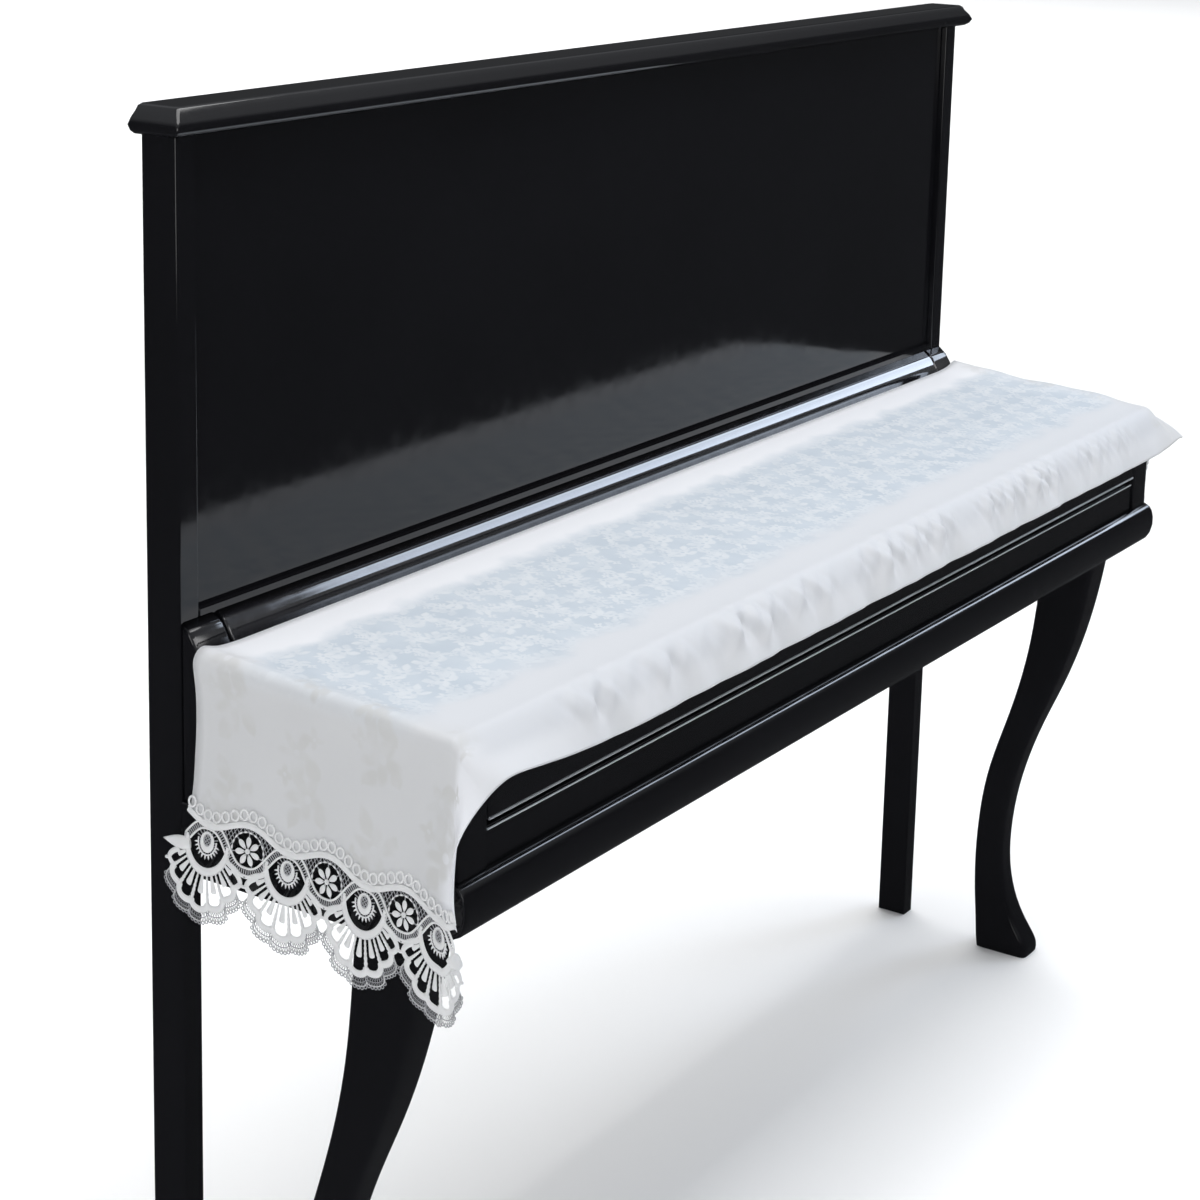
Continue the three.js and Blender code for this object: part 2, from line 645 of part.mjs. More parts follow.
const lacquer = new THREE.MeshStandardMaterial({ name: 'black_lacquer', color: 0x0a0a0c, roughness: 0.12 });
const jacquard = new THREE.MeshStandardMaterial({ name: 'white_jacquard', color: 0xe9ebef, roughness: 0.75 });
const guipure = new THREE.MeshStandardMaterial({ name: 'white_lace', color: 0xf0f0ee, roughness: 0.85 });

const group = new THREE.Group();
group.name = 'piano_keyboard_cover';

function add(name, geometry, material) {
  const mesh = new THREE.Mesh(geometry, material);
  mesh.name = name;
  group.add(mesh);
}

const armInner = HALF_WIDTH - ARM_WIDTH;
add('cover_cloth', coverCloth(), jacquard);
add('lace_left', laceTrim('left'), guipure);
add('lace_right', laceTrim('right'), guipure);
const lid = shelfOutline(LID_FRONT_Y, LID_LOW_Z, LID_REBATE);
add('key_lid', board(lid, -armInner + FIT, armInner - FIT), lacquer);
const slip = [
  [-FIT, SHELF_Z + FIT], [-FIT, LID_LOW_Z - FIT], [SLIP_FRONT_Y + SLIP_STEP, LID_LOW_Z - FIT],
  [SLIP_FRONT_Y + SLIP_STEP, LID_LOW_Z - 1 - SLIP_STEP], [SLIP_FRONT_Y, LID_LOW_Z - 1 - SLIP_STEP],
  [SLIP_FRONT_Y, SHELF_Z + FIT],
];
add('key_slip', board(slip, -armInner + FIT, armInner - FIT, 1), lacquer);
for (const [name, side] of [['left', -1], ['right', 1]]) {
  const span = [side * armInner, side * HALF_WIDTH].sort((a, b) => a - b);
  add(`arm_${name}`, board(shelfOutline(ARM_FRONT_Y, SHELF_Z + FIT, 0), ...span, ARM_EDGE_RADIUS), lacquer);
  const post = [side * (HALF_WIDTH - END_THICK), side * HALF_WIDTH].sort((a, b) => a - b);
  add(`end_panel_${name}`, board(rectangle(0, END_DEPTH, 0, PANEL_TOP_Z), ...post), lacquer);
  add(`leg_${name}`, frontLeg(side), lacquer);
}
add('keybed', board(bedOutline(), -HALF_WIDTH - BED_OVERHANG, HALF_WIDTH + BED_OVERHANG, BED_SOFT), lacquer);
const between = HALF_WIDTH - END_THICK - FIT;
const panel = rectangle(PANEL_FRONT_Y, PANEL_FRONT_Y + PANEL_THICK, RAIL_TOP_Z + FIT, PANEL_TOP_Z);
add('upper_panel', board(panel, -between, between), lacquer);
const rail = rectangle(0, END_DEPTH - 6, SHELF_Z - BED_THICK, RAIL_TOP_Z);
add('panel_rail', board(rail, -between, between), lacquer);
add('top_lid', topLid(), lacquer);

// The frame's origin lies on the floor under the middle of the whole.
const box = new THREE.Box3().setFromObject(group);
const middle = box.getCenter(new THREE.Vector3());
for (const mesh of group.children) mesh.geometry.translate(-middle.x, -middle.y, -box.min.z);

export default group;
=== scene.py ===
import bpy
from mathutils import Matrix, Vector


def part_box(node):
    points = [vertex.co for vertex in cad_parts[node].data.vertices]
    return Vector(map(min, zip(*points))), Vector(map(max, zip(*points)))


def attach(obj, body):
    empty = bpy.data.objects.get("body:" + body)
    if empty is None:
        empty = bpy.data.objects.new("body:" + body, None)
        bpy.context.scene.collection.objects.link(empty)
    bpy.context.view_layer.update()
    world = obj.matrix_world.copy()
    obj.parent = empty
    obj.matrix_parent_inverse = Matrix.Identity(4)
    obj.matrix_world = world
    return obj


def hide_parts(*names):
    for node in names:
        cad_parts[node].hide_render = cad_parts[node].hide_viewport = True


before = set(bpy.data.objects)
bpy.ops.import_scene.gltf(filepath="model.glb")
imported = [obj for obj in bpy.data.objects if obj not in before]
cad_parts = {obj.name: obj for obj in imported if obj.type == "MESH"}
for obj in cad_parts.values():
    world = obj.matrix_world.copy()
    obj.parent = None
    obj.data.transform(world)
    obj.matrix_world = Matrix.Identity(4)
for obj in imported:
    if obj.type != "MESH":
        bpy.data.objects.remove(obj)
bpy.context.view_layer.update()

import math

import bmesh
import bpy
import numpy as np
from mathutils import Matrix, Quaternion, Vector

# Sizes are in millimetres from the middle of the case (x), the front of its end panels (y) and the floor (z).
# Every mesh is carried to the frame, in metres, when it is made.
MM = 0.001
LEFT_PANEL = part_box("end_panel_left")
RIGHT_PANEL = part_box("end_panel_right")
CASE_ORIGIN = np.array([(LEFT_PANEL[0][0] + RIGHT_PANEL[1][0]) / 2, LEFT_PANEL[0][1], 0.0])

# Key shelf that the cover lies on.
SHELF_Z = 650
HALF_WIDTH = 750
ARM_FRONT_Y = -306
LID_FRONT_Y = -305
LIP_RADIUS = 10
LIP_PROUD = 1
LIP_Z = SHELF_Z + 125
LID_SLOPE = 0.06
LID_BACK_Y = -23
ARM_EDGE_RADIUS = 5

# Cover.
CLOTH_THICK = 1.2
LACE_THICK = 1.0
REST_GAP = 0.35
SEW_GAP = 0.42
FOLD_GAP = 0.8
FOLD_BAND = {"offset": 8, "half": 12, "fade": 24}
EDGE_LIFT = 1.8
CLEAR = REST_GAP + EDGE_LIFT + CLOTH_THICK / 2
LIP_TURN = LIP_RADIUS + CLEAR
END_TURN = ARM_EDGE_RADIUS + CLEAR
LIP_CENTRE_Y = LID_FRONT_Y + LIP_RADIUS - LIP_PROUD
END_CENTRE_X = HALF_WIDTH - ARM_EDGE_RADIUS
END_RUN = END_CENTRE_X + END_TURN * math.pi / 2
FLAT_DEPTH = LID_BACK_Y - LIP_CENTRE_Y
LIP_RUN = FLAT_DEPTH + LIP_TURN * math.pi / 4
FRONT_DROP = 56.5
CLOTH_WIDTH = LIP_RUN + FRONT_DROP
# Sign of x at the two ends of the runner. It lies off centre, so its right end hangs less.
SIDE = {"left": -1, "right": 1}
END_SHIFT = {"left": 0, "right": 62}
FALL_FACTOR = 0.99
LIFT_ZONE = 55
BACK_DRIFT = 12
EVEN_RUN = 100
SWAY_RUN = 260
FLARE_POWER = 4
BEND_SHARE = 0.33
PUCKER_REACH = 470
PUCKER_FADE = 180
PUCKER_END = 600
PUCKER_END_FADE = 100
PUCKER_LEAST = 0.35

# Front corner at the two ends: how the fold line and the front hem run past the end of the arm.
# Columns: run past the arm edge, distance from the middle (x), distance before the arm (fore), height (z).
FOLD = {
    "left": [
        [0, 752.7, -1, 116], [30, 760, 5, 87], [60, 769, 11, 59], [90, 777, 15, 30], [120, 782, 17, 2],
        [150, 784, 17, -26], [200, 786, 15, -74], [260, 787, 13, -132],
    ],
    "right": [
        [0, 752.7, -1, 116], [10, 764, 13, 107], [22, 779, 26, 92], [34, 784, 6, 82], [48, 784, -10, 68],
        [70, 783, -16, 46], [100, 781, -18, 16], [260, 778, -18, -142],
    ],
}
HEM = {
    "left": [
        [-330, 427, 24, 75], [-216, 541, 24, 76], [-139, 611, 27, 81], [-85, 664, 30, 88], [-43, 706, 31, 93],
        [-23, 726, 31, 92], [-4, 743, 28, 84], [26, 767, 25, 67], [49, 783, 24, 50], [75, 789, 24, 26],
        [100, 787, 24, 3], [125, 779, 22, -19], [155, 770, 19, -46], [200, 764, 17, -88],
        [260, 760, 15, -146],
    ],
    "right": [
        [-330, 427, 24, 75], [-216, 541, 24, 75], [-100, 657, 25, 75], [-40, 716, 26, 76], [-10, 746, 30, 82],
        [8, 768, 33, 88], [22, 784, 31, 86], [34, 786, 14, 78], [48, 781, -6, 64], [70, 771, -28, 44],
        [100, 764, -42, 14], [140, 762, -46, -26], [260, 761, -46, -145],
    ],
}
# Where the fold line runs in the flat cloth. Columns: run past the arm edge, distance from the back edge.
FOLD_ACROSS = {
    "left": [[0, LIP_RUN], [40, LIP_RUN + 7], [110, LIP_RUN + 18], [260, LIP_RUN + 20]],
    "right": [
        [0, LIP_RUN], [10, LIP_RUN + 24], [22, CLOTH_WIDTH - 7], [45, CLOTH_WIDTH - 16], [90, LIP_RUN + 20],
        [260, LIP_RUN + 20],
    ],
}
# Loose folds of the hanging ends.
END_SWAY = {
    "left": {"lean": 13, "sway": 2.4, "waves": 1.6, "phase": 0.6},
    "right": {"lean": 9, "sway": 3.6, "waves": 1.7, "phase": 1.9},
}
# Soft puckers of the front overhang. Columns: wave length, forward swing, rise of the hem, phase.
PUCKERS = [[173, 2.6, 1.2, 0.4], [97, 2.2, 1.3, 2.1], [61, 1.5, 0.7, 4.0]]
# Small gathers of the front overhang. Columns: wave length, height at the left, at the right, slant, phase.
GATHERS = [
    [63, 3.2, 2.2, 0.5, 0.3], [43, 3.0, 2.3, -0.35, 1.7], [31, 2.0, 2.5, 0.7, 4.4], [19, 0.8, 1.9, -0.5, 2.9],
    [14, 0.3, 1.1, 0.3, 0.7],
]
# How deep a valley between two gathers may lie: on the lid, and more for each millimetre past the lip.
GATHER_DEPTH = {"lid": 0.2, "past_lip": 0.2}
GATHER_CHANGE = {"start": -300, "span": 700}
# Slow swell of the gathers along the runner, about a mean share. Columns: wave length, share, phase.
GATHER_SWELL = [[310, 0.3, 0.8], [137, 0.25, 2.6]]
GATHER_SHARE = 0.6
# How far the waves are raised, as a share of their height, so that crests are broader than valleys.
GATHER_RAISE = 0.45
GATHER_MIDDLE = LIP_RUN + 25
GATHER_SPREAD = {"lid": 24, "front": 18}
GATHER_REACH = {"left": 500, "right": 540}
GATHER_FADE = 170
# Soft bulge of the cloth over the edge of the arm: heights, spreads and the rows over which it fades.
END_BULGE = {"back": 4.6, "front": 2.2, "lid": 17, "hanging": 30, "fade": 0.22}
# Slow change of the bulge across the cloth. Columns: wave length, height, phase.
BULGE_WAVES = [[168, 1.3, 0.9], [74, 0.7, 2.4]]
# Slack creases of the hanging ends. Columns: wave length, height, slant, phase.
SLACK = [[118, 0.7, 0.7, 0.9], [67, 0.4, -0.9, 3.1], [43, 0.2, 0.4, 5.0]]
SLACK_ZONE = {"start": 10, "full": 60, "above_lace": 50, "last_row": 1.1, "row_fade": 0.25}
# Mesh of the runner: rows across it, the row where the close rows of the lip start, and steps along it.
ROW_STEPS = {"back": 20, "lip": 34, "front": 27}
LIP_ROW = 0.72
HANG_STEPS = 58
LID_STEPS = 195
TURN_SHARES = np.array([0.2, 0.4, 0.6, 0.8])
# Row just before the fold, which gives the way the cloth leaves it, and the step that normals are read over.
LEAD_ROW = 0.99
NORMAL_STEP = 0.4

# Lace repeat, measured along the cut end (across) and down from the arm edge (fall).
REPEATS = 4
REPEAT = 90
LACE_START = -20
FIRST_EYE = LACE_START + REPEAT / 2
LAST_EYE = FIRST_EYE + (REPEATS - 1) * REPEAT
BAND_FALL = 137
BAND_WAVE = 6.5
BAND_HALF = 2.6
HEAD_START = 2
HEAD_END = LAST_EYE + 27
RING_PITCH = 10
RING_CENTRE = 9.2
RIBBON_FALL = 158
RIBBON_WAVE = 15
RIBBON_SQUARE = 0.08
RIBBON_HALF = 3.5
RUNG_PITCH = 2.4
RIBBON_PAST_EYE = 23
EYE_FALL = 158
FLOWER_FALL = 154
FLOWER_HOLE = 17.4
PETALS = 7
FAN_RADIUS = 78
FAN_SIDE_RADIUS = 54
FAN_HALF_ANGLE = 0.96
FAN_LOBES = 7
FAN_LOBE = 2 * FAN_HALF_ANGLE / (FAN_LOBES - 1)
FAN_SIDE_CURL = 0.12
FAN_SIDE_FOOT = 35
LOOP_AT = {"middle": 0.71, "side": 0.78}
BORDER_HALF = 3.3
BORDER_AT = 0.87
BORDER_NOTCH = 5.5
RIM_INSET = 2.6
RIM_NOTCH = 4.5
NET_PITCH = 4.2
UNDERLAP = 2

# Threads of the lace. Half is half the width of a thread, wide and deep are the radii of a ring, and an oval
# holds both radii. Angles are measured from straight down.
THREAD_LEAST = 0.15
PETAL_ROUND = 0.7
BAND_CORD = {"inset": 0.3, "half": 0.8}
BAND_PAST = 4
BAND_STEPS = 130
RING = {"wide": 4.1, "deep": 4.7, "half": 1.15, "steps": 14}
RIBBON_CORD = 1.05
RIBBON_STEPS = 190
RUNG_START = 1
RUNG_HALF = 0.55
EYE_RING = {"wide": 6.1, "deep": 7.8, "steps": 24}
EYE_RING_HALF = {"mean": 2.1, "change": 0.9}
EYE_NET_RING = {"wide": 4.4, "deep": 5.4, "half": 0.6}
EYE_NET = {"rise": 0.9, "radius": 4.8, "pitch": 2.6, "half": 0.5}
EYE_CORD = {"angle": 1.7, "count": 22, "oval": (10.4, 12.8), "half": 0.8}
EYE_TIES = {"angle": 1.6, "count": 13, "length": 2.4, "half": 0.45}
EYE_RAYS = {"angle": 1.3, "count": 11, "past": np.array([0, 2.2, 4.4]), "half": [0.75, 0.85, 0.4]}
EYE_THREADS = {"first": 1.9, "count": 8, "reach": np.array([8.0, 12.6]), "half": 0.5}
BOWL = {"angle": 1.62, "count": 30, "oval": (23.4, 28.2), "half": 3.7, "side_half": 1.8, "taper": 1.6}
BOWL_EDGE = {"oval": (26.4, 31.8), "half": 0.7}
TAIL = {"start": (20, 10), "tip": (46, 21.5), "half": 2.9, "fullness": 0.75}
WING = {"start": 19, "tip": 52, "fall": 8, "droop": 5, "curve": 0.7, "cord": 0.8}
WING_HALF = np.array([4.6, 6.0, 6.4, 6.2, 5.2, 3.8, 2.0, 0.2])
FAN_FOOT = (26, 31)
FAN_TIE = {"past": 0.5, "drop": 0.5, "half": 1.5}
LOBE_STEPS = 19
BORDER_SIDE = {"inset": 4, "half": 2.6}
BORDER_ROUND = 0.5
RIM_ROUND = 0.4
FINGER = {"thin": 1.2, "spread": 0.23, "inset": 6, "side_inset": 4}
FINGER_SHARE = np.array([0, 0.3, 0.55, 0.75, 0.87, 0.94, 0.98, 1.0])
FINGER_TAPER = np.array([1, 1, 1, 1, 1, 0.9, 0.65, 0.2])
TWIST = {"thin": 0.8, "thick": 1.8, "steps": 13, "bead": 0.15}
EDGING = {"overlap": 0.6, "rim_half": 0.65, "middle": 0.55, "middle_half": 0.4}
EDGING_NET = {"knots": 9, "half": 0.48}
EDGING_LOOPS = {"count": 6, "margin": 1.5, "past": 1.3}
EDGING_LOOP = {"wide": 1.6, "deep": 1.6, "half": 0.5, "steps": 8}
PETAL_REACH = (2.2, 14)
PETAL_SHAPE = {"half": 2.9, "steps": 8, "fullness": 1.35}
VEIN = {"reach": (3, 10), "half": 0.6}
STAY = {"reach": (13, FLOWER_HOLE + 1), "half": 0.5}
FLOWER_HEART = {"wide": 1.5, "deep": 1.5, "half": 1.2, "steps": 8}
ARCH = {"angle": 1.75, "count": 22, "half": 0.7, "bead": 0.25}
NET = {"step": 0.6, "reach": 60, "run": 50, "lean": 0.62, "fall": 150, "margin": 1, "below_flower": 4}
NET_THREAD = {"half": 0.38, "least": 2, "stride": 8}

CASE_NODES = [
    "key_lid", "key_slip", "arm_left", "arm_right", "keybed", "upper_panel", "panel_rail", "top_lid",
    "end_panel_left", "end_panel_right",
]
LEG_NODES = ["leg_left", "leg_right"]
ROUNDED_NODES = ["key_lid", "keybed"]
# Joining and smoothing of the case boards: distance in metres, and angles in degrees.
JOIN_DISTANCE = 0.00002
FLAT_ANGLE = 0.5
SHARP_ANGLE = 50
FACE_WEIGHT = {"rounded": 50, "plain": 100}
LEG_END_BAND = 1e-4
LEG_ROUNDING = 2


def mix(a, b, t):
    return a + (b - a) * t


def smooth(t):
    u = np.clip(t, 0, 1)
    return u * u * (3 - 2 * u)


def waves(table, place):
    """Sum of sine waves along a line. Columns: wave length, height, phase."""
    return sum(height * np.sin(2 * np.pi * place / length + phase) for length, height, phase in table)


def read(table, key, column):
    """Smooth reading of one column of a table whose first column rises."""
    rows = np.asarray(table, float)
    keys, values = rows[:, 0], rows[:, column]
    slopes = np.empty_like(values)
    slopes[1:-1] = (values[2:] - values[:-2]) / (keys[2:] - keys[:-2])
    slopes[0] = (values[1] - values[0]) / (keys[1] - keys[0])
    slopes[-1] = (values[-1] - values[-2]) / (keys[-1] - keys[-2])
    key = np.clip(key, keys[0], keys[-1])
    i = np.clip(np.searchsorted(keys, key) - 1, 0, len(keys) - 2)
    span = keys[i + 1] - keys[i]
    t = (key - keys[i]) / span
    t2, t3 = t * t, t * t * t
    start = (2 * t3 - 3 * t2 + 1) * values[i] + (t3 - 2 * t2 + t) * span * slopes[i]
    return start + (3 * t2 - 2 * t3) * values[i + 1] + (t3 - t2) * span * slopes[i + 1]


def lid_top(y):
    return LIP_Z + (y - LIP_CENTRE_Y) * LID_SLOPE


def fold_across(end, run):
    return read(FOLD_ACROSS[end], run, 1)


def row_to_across(end, run, row):
    fold = fold_across(end, run)
    return np.where(row <= 1, row * fold, mix(fold, CLOTH_WIDTH, row - 1))


def across_to_row(end, run, across):
    fold = fold_across(end, run)
    return np.minimum(np.where(across <= fold, across / fold, 1 + (across - fold) / (CLOTH_WIDTH - fold)), 2)


def on_lid(along, row):
    """Cloth on the lid, from the back edge (row 0) to the middle of the lip turn (row 1)."""
    along, row = np.broadcast_arrays(np.asarray(along, float), np.asarray(row, float))
    across = row * LIP_RUN
    turn = np.maximum(0, across - FLAT_DEPTH) / LIP_TURN
    y = LID_BACK_Y - np.minimum(across, FLAT_DEPTH) - LIP_TURN * np.sin(turn)
    near_end = smooth((np.abs(along) - END_CENTRE_X + LIFT_ZONE) / LIFT_ZONE)
    near_lip = smooth((across - FLAT_DEPTH + LIFT_ZONE) / LIFT_ZONE)
    lift = EDGE_LIFT * (1 - (1 - near_end) * (1 - near_lip))
    z = lid_top(np.maximum(y, LIP_CENTRE_Y)) + REST_GAP + CLOTH_THICK / 2 + lift
    return np.stack([along, y, z - LIP_TURN * (1 - np.cos(turn))], axis=-1)


def on_end(end, run, row):
    """Cloth past the arm edge, up to the fold line (row 1)."""
    top = on_lid(END_CENTRE_X, row)
    first = on_lid(END_CENTRE_X, 0)
    last = on_lid(END_CENTRE_X, 1)
    side = END_SWAY[end]
    back_y = LID_BACK_Y + BACK_DRIFT * smooth((run - EVEN_RUN) / (SWAY_RUN - EVEN_RUN))
    fold_y = ARM_FRONT_Y - read(FOLD[end], run, 2)
    even = smooth(run / EVEN_RUN)
    share = mix((top[..., 1] - first[1]) / (last[1] - first[1]), row, even)
    near = np.maximum(row, 0) ** FLARE_POWER
    hang = smooth(run / SWAY_RUN)
    wave = 1 + np.sin(2 * np.pi * side["waves"] * row + side["phase"])
    lean = END_CENTRE_X + END_TURN + side["lean"] * hang + side["sway"] * wave * (1 - near) * hang
    x = mix(lean, read(FOLD[end], run, 1), near)
    drop_z = top[..., 2] - END_TURN - FALL_FACTOR * run
    at_fold = last[2] - END_TURN - FALL_FACTOR * run
    z = drop_z + (SHELF_Z + read(FOLD[end], run, 3) - at_fold) * near
    return np.stack([x, mix(back_y, fold_y, share), z], axis=-1)


def up_to_fold(end, run, row):
    along = END_RUN + run
    turn = np.clip((along - END_CENTRE_X) / END_TURN, 0, np.pi / 2)
    top = on_lid(np.minimum(along, END_CENTRE_X), row)
    top[..., 0] += END_TURN * np.sin(turn)
    top[..., 2] -= END_TURN * (1 - np.cos(turn))
    return np.where((run >= 0)[..., None], on_end(end, np.maximum(run, 0), row), top)


def hem_point(end, run):
    """Front hem: straight along the lid with soft puckers, then round the corner."""
    straight = HEM[end][1][0]
    x = np.where(run < straight, END_RUN + run, read(HEM[end], run, 1))
    along = SIDE[end] * x
    middle = 1 - smooth((x - PUCKER_REACH) / PUCKER_FADE)
    strength = mix(PUCKER_LEAST, 1, middle) * (1 - smooth((x - PUCKER_END) / PUCKER_END_FADE))
    fore = read(HEM[end], run, 2)
    z = SHELF_Z + read(HEM[end], run, 3)
    for length, swing, rise, phase in PUCKERS:
        wave = strength * np.sin(2 * np.pi * along / length + phase)
        fore = fore + swing * wave
        z = z + rise * wave
    return np.stack([x, ARM_FRONT_Y - fore, z], axis=-1)


def drape(end, run, row):
    """Middle of the cloth: run past the arm edge, and row 0 at the back edge, 1 at the fold, 2 at the hem."""
    fold_row = np.ones_like(row)
    start = up_to_fold(end, run, fold_row)
    lead = start - up_to_fold(end, run, LEAD_ROW * fold_row)
    hem = hem_point(end, run)
    reach = np.linalg.norm(start - hem, axis=-1, keepdims=True)
    bend = start + lead / np.linalg.norm(lead, axis=-1, keepdims=True) * BEND_SHARE * reach
    t = np.clip(row - 1, 0, 1)[..., None]
    front = start * (1 - t) ** 2 + bend * 2 * t * (1 - t) + hem * t * t
    points = np.where((row > 1)[..., None], front, up_to_fold(end, run, np.minimum(row, 1)))
    points[..., 0] *= SIDE[end]
    return points


def drape_normal(end, run, row):
    row_step = NORMAL_STEP / LIP_RUN
    middle = np.minimum(row, 2 - row_step)
    along_run = drape(end, run + NORMAL_STEP, row) - drape(end, run - NORMAL_STEP, row)
    along_row = drape(end, run, middle + row_step) - drape(end, run, middle - row_step)
    normal = np.cross(along_row, along_run)
    normal /= np.linalg.norm(normal, axis=-1, keepdims=True)
    return SIDE[end] * normal


def end_bulge(run, row, across):
    """Soft round of the cloth where it turns over the arm, fading out towards the front corner."""
    past_edge = run + END_TURN * math.pi / 4
    spread = np.where(past_edge < 0, END_BULGE["lid"], END_BULGE["hanging"])
    height = mix(END_BULGE["back"], END_BULGE["front"], np.clip(row, 0, 1))
    height = height + waves(BULGE_WAVES, across)
    return height * np.exp(-((past_edge / spread) ** 2)) * smooth((1 - row) / END_BULGE["fade"])


def relief(end, run, row):
    """Small gathers of the front overhang, the round over the arm and slack creases of the hanging end."""
    across = row_to_across(end, run, row)
    x = END_RUN + run
    along = SIDE[end] * x
    gathered = 1 - smooth((x - GATHER_REACH[end]) / GATHER_FADE)
    spread = np.where(across < GATHER_MIDDLE, GATHER_SPREAD["lid"], GATHER_SPREAD["front"])
    gathered = gathered * np.exp(-(((across - GATHER_MIDDLE) / spread) ** 2))
    gathered = gathered * (GATHER_SHARE + waves(GATHER_SWELL, along))
    rightward = smooth((along - GATHER_CHANGE["start"]) / GATHER_CHANGE["span"])
    rise = 0
    for length, left, right, slant, phase in GATHERS:
        wave = np.sin(2 * np.pi * (along + slant * across) / length + phase)
        rise = rise + mix(left, right, rightward) * (GATHER_RAISE + wave)
    depth = GATHER_DEPTH["lid"] + GATHER_DEPTH["past_lip"] * np.maximum(across - LIP_RUN, 0)
    gathers = np.maximum(gathered * rise, -depth)
    hanging = smooth((run - SLACK_ZONE["start"]) / SLACK_ZONE["full"])
    hanging = hanging * smooth((BAND_FALL - END_SHIFT[end] - run) / SLACK_ZONE["above_lace"])
    hanging = hanging * smooth((SLACK_ZONE["last_row"] - row) / SLACK_ZONE["row_fade"])
    slack = 0
    for length, height, slant, phase in SLACK:
        slack = slack + height * np.sin(2 * np.pi * (across + slant * run) / length + phase)
    return gathers + hanging * slack + end_bulge(run, row, across)


def placed(end, run, row, stand_off=0.0):
    """Points of the draped cover, a distance in front of the middle of the cloth, with their normals."""
    normal = drape_normal(end, run, row)
    height = relief(end, run, row) + stand_off
    return drape(end, run, row) + normal * height[..., None], normal


def to_frame(points):
    return points * MM + CASE_ORIGIN


def band_fall(across):
    return BAND_FALL + BAND_WAVE * np.cos(2 * np.pi * (across - FIRST_EYE) / REPEAT)


def ribbon_fall(across):
    turn = 2 * np.pi * (across - FIRST_EYE) / REPEAT
    return RIBBON_FALL - RIBBON_WAVE * ((1 + RIBBON_SQUARE) * np.cos(turn) - RIBBON_SQUARE * np.cos(3 * turn))


def fan_radius(angle):
    return mix(FAN_RADIUS, FAN_SIDE_RADIUS, (angle / FAN_HALF_ANGLE) ** 2)


def add_object(name, data):
    piece = bpy.data.objects.new(name, data)
    bpy.context.scene.collection.objects.link(piece)
    return piece


def applied(piece):
    """The piece with its modifiers turned into plain mesh."""
    graph = bpy.context.evaluated_depsgraph_get()
    mesh = bpy.data.meshes.new_from_object(piece.evaluated_get(graph), depsgraph=graph)
    piece.modifiers.clear()
    old = piece.data
    piece.data = mesh
    mesh.name = piece.name
    bpy.data.meshes.remove(old)
    return piece


# Runner

def cloth_rows():
    back = np.linspace(0, LIP_ROW, ROW_STEPS["back"], endpoint=False)
    lip = np.linspace(LIP_ROW, 1, ROW_STEPS["lip"], endpoint=False)
    front = np.linspace(1, 2, ROW_STEPS["front"])
    return np.concatenate([back, lip, front])


def cover_cloth(material):
    """Runner as one thin sheet, built from its two halves, which share their middle column."""
    rows = cloth_rows()
    hang_share = np.linspace(1, 0, HANG_STEPS)
    turn_runs = -TURN_SHARES * (END_RUN - END_CENTRE_X)
    lid_x = np.linspace(0, END_CENTRE_X, LID_STEPS)
    flat_runs = np.concatenate([turn_runs, lid_x[::-1] - END_RUN])
    flat = np.repeat(flat_runs[:, None], len(rows), axis=1)
    halves = []
    for end in SIDE:
        cut_across = row_to_across(end, BAND_FALL - END_SHIFT[end], rows)
        cut = band_fall(cut_across) + UNDERLAP - END_SHIFT[end]
        run = np.concatenate([hang_share[:, None] * cut[None, :], flat])
        row = np.repeat(rows[None, :], len(run), axis=0)
        points, _ = placed(end, run, row)
        halves.append((points, SIDE[end] * (END_RUN + run), row_to_across(end, run, row)))
    points, along, across = (np.concatenate([left, right[-2::-1]]) for left, right in zip(*halves))
    columns, count = along.shape
    corner = (np.arange(columns - 1)[:, None] * count + np.arange(count - 1)[None, :]).ravel()
    faces = np.stack([corner, corner + 1, corner + count + 1, corner + count], axis=1)
    mesh = bpy.data.meshes.new("cover_cloth_sheet")
    mesh.from_pydata(to_frame(points.reshape(-1, 3)).tolist(), [], faces.tolist())
    flat_map = mesh.uv_layers.new(name="flat")
    loop_corner = np.empty(len(mesh.loops), int)
    mesh.loops.foreach_get("vertex_index", loop_corner)
    flat_uv = np.stack([along.ravel(), across.ravel()], axis=1)[loop_corner] * MM
    flat_map.data.foreach_set("uv", flat_uv.ravel())
    mesh.shade_smooth()
    mesh.materials.append(material)
    sheet = add_object("cover_cloth_sheet", mesh)
    thick = sheet.modifiers.new("thickness", "SOLIDIFY")
    thick.thickness = CLOTH_THICK * MM
    thick.offset = 0
    return applied(sheet)


# Lace: every thread is a stroke in the flat pattern, with half widths in millimetres.

def stroke(points, half, tape=False, closed=False):
    points = np.asarray(points, float)
    halves = np.broadcast_to(np.asarray(half, float), len(points))
    return {"points": points, "half": halves, "tape": tape, "closed": closed}


def circle(across, fall, wide, deep, half, steps=20, tape=False):
    turn = np.linspace(0, 2 * np.pi, steps, endpoint=False)
    points = np.stack([across + wide * np.sin(turn), fall + deep * np.cos(turn)], axis=1)
    return stroke(points, half, tape, closed=True)


def petal(start, end, half, steps=7, fullness=0.9):
    """Tape that swells from a point, is widest past its middle and closes in a round tip."""
    share = np.linspace(0, 1, steps)
    swell = np.sin(np.pi * share ** fullness) ** PETAL_ROUND
    points = np.outer(1 - share, start) + np.outer(share, end)
    return stroke(points, np.maximum(half * swell, THREAD_LEAST), tape=True)


def around(eye, angle, radius):
    return np.stack([eye + radius * np.sin(angle), EYE_FALL + radius * np.cos(angle)], axis=-1)


def bowl_reach(angle, wide, deep):
    return 1 / np.sqrt((np.sin(angle) / wide) ** 2 + (np.cos(angle) / deep) ** 2)


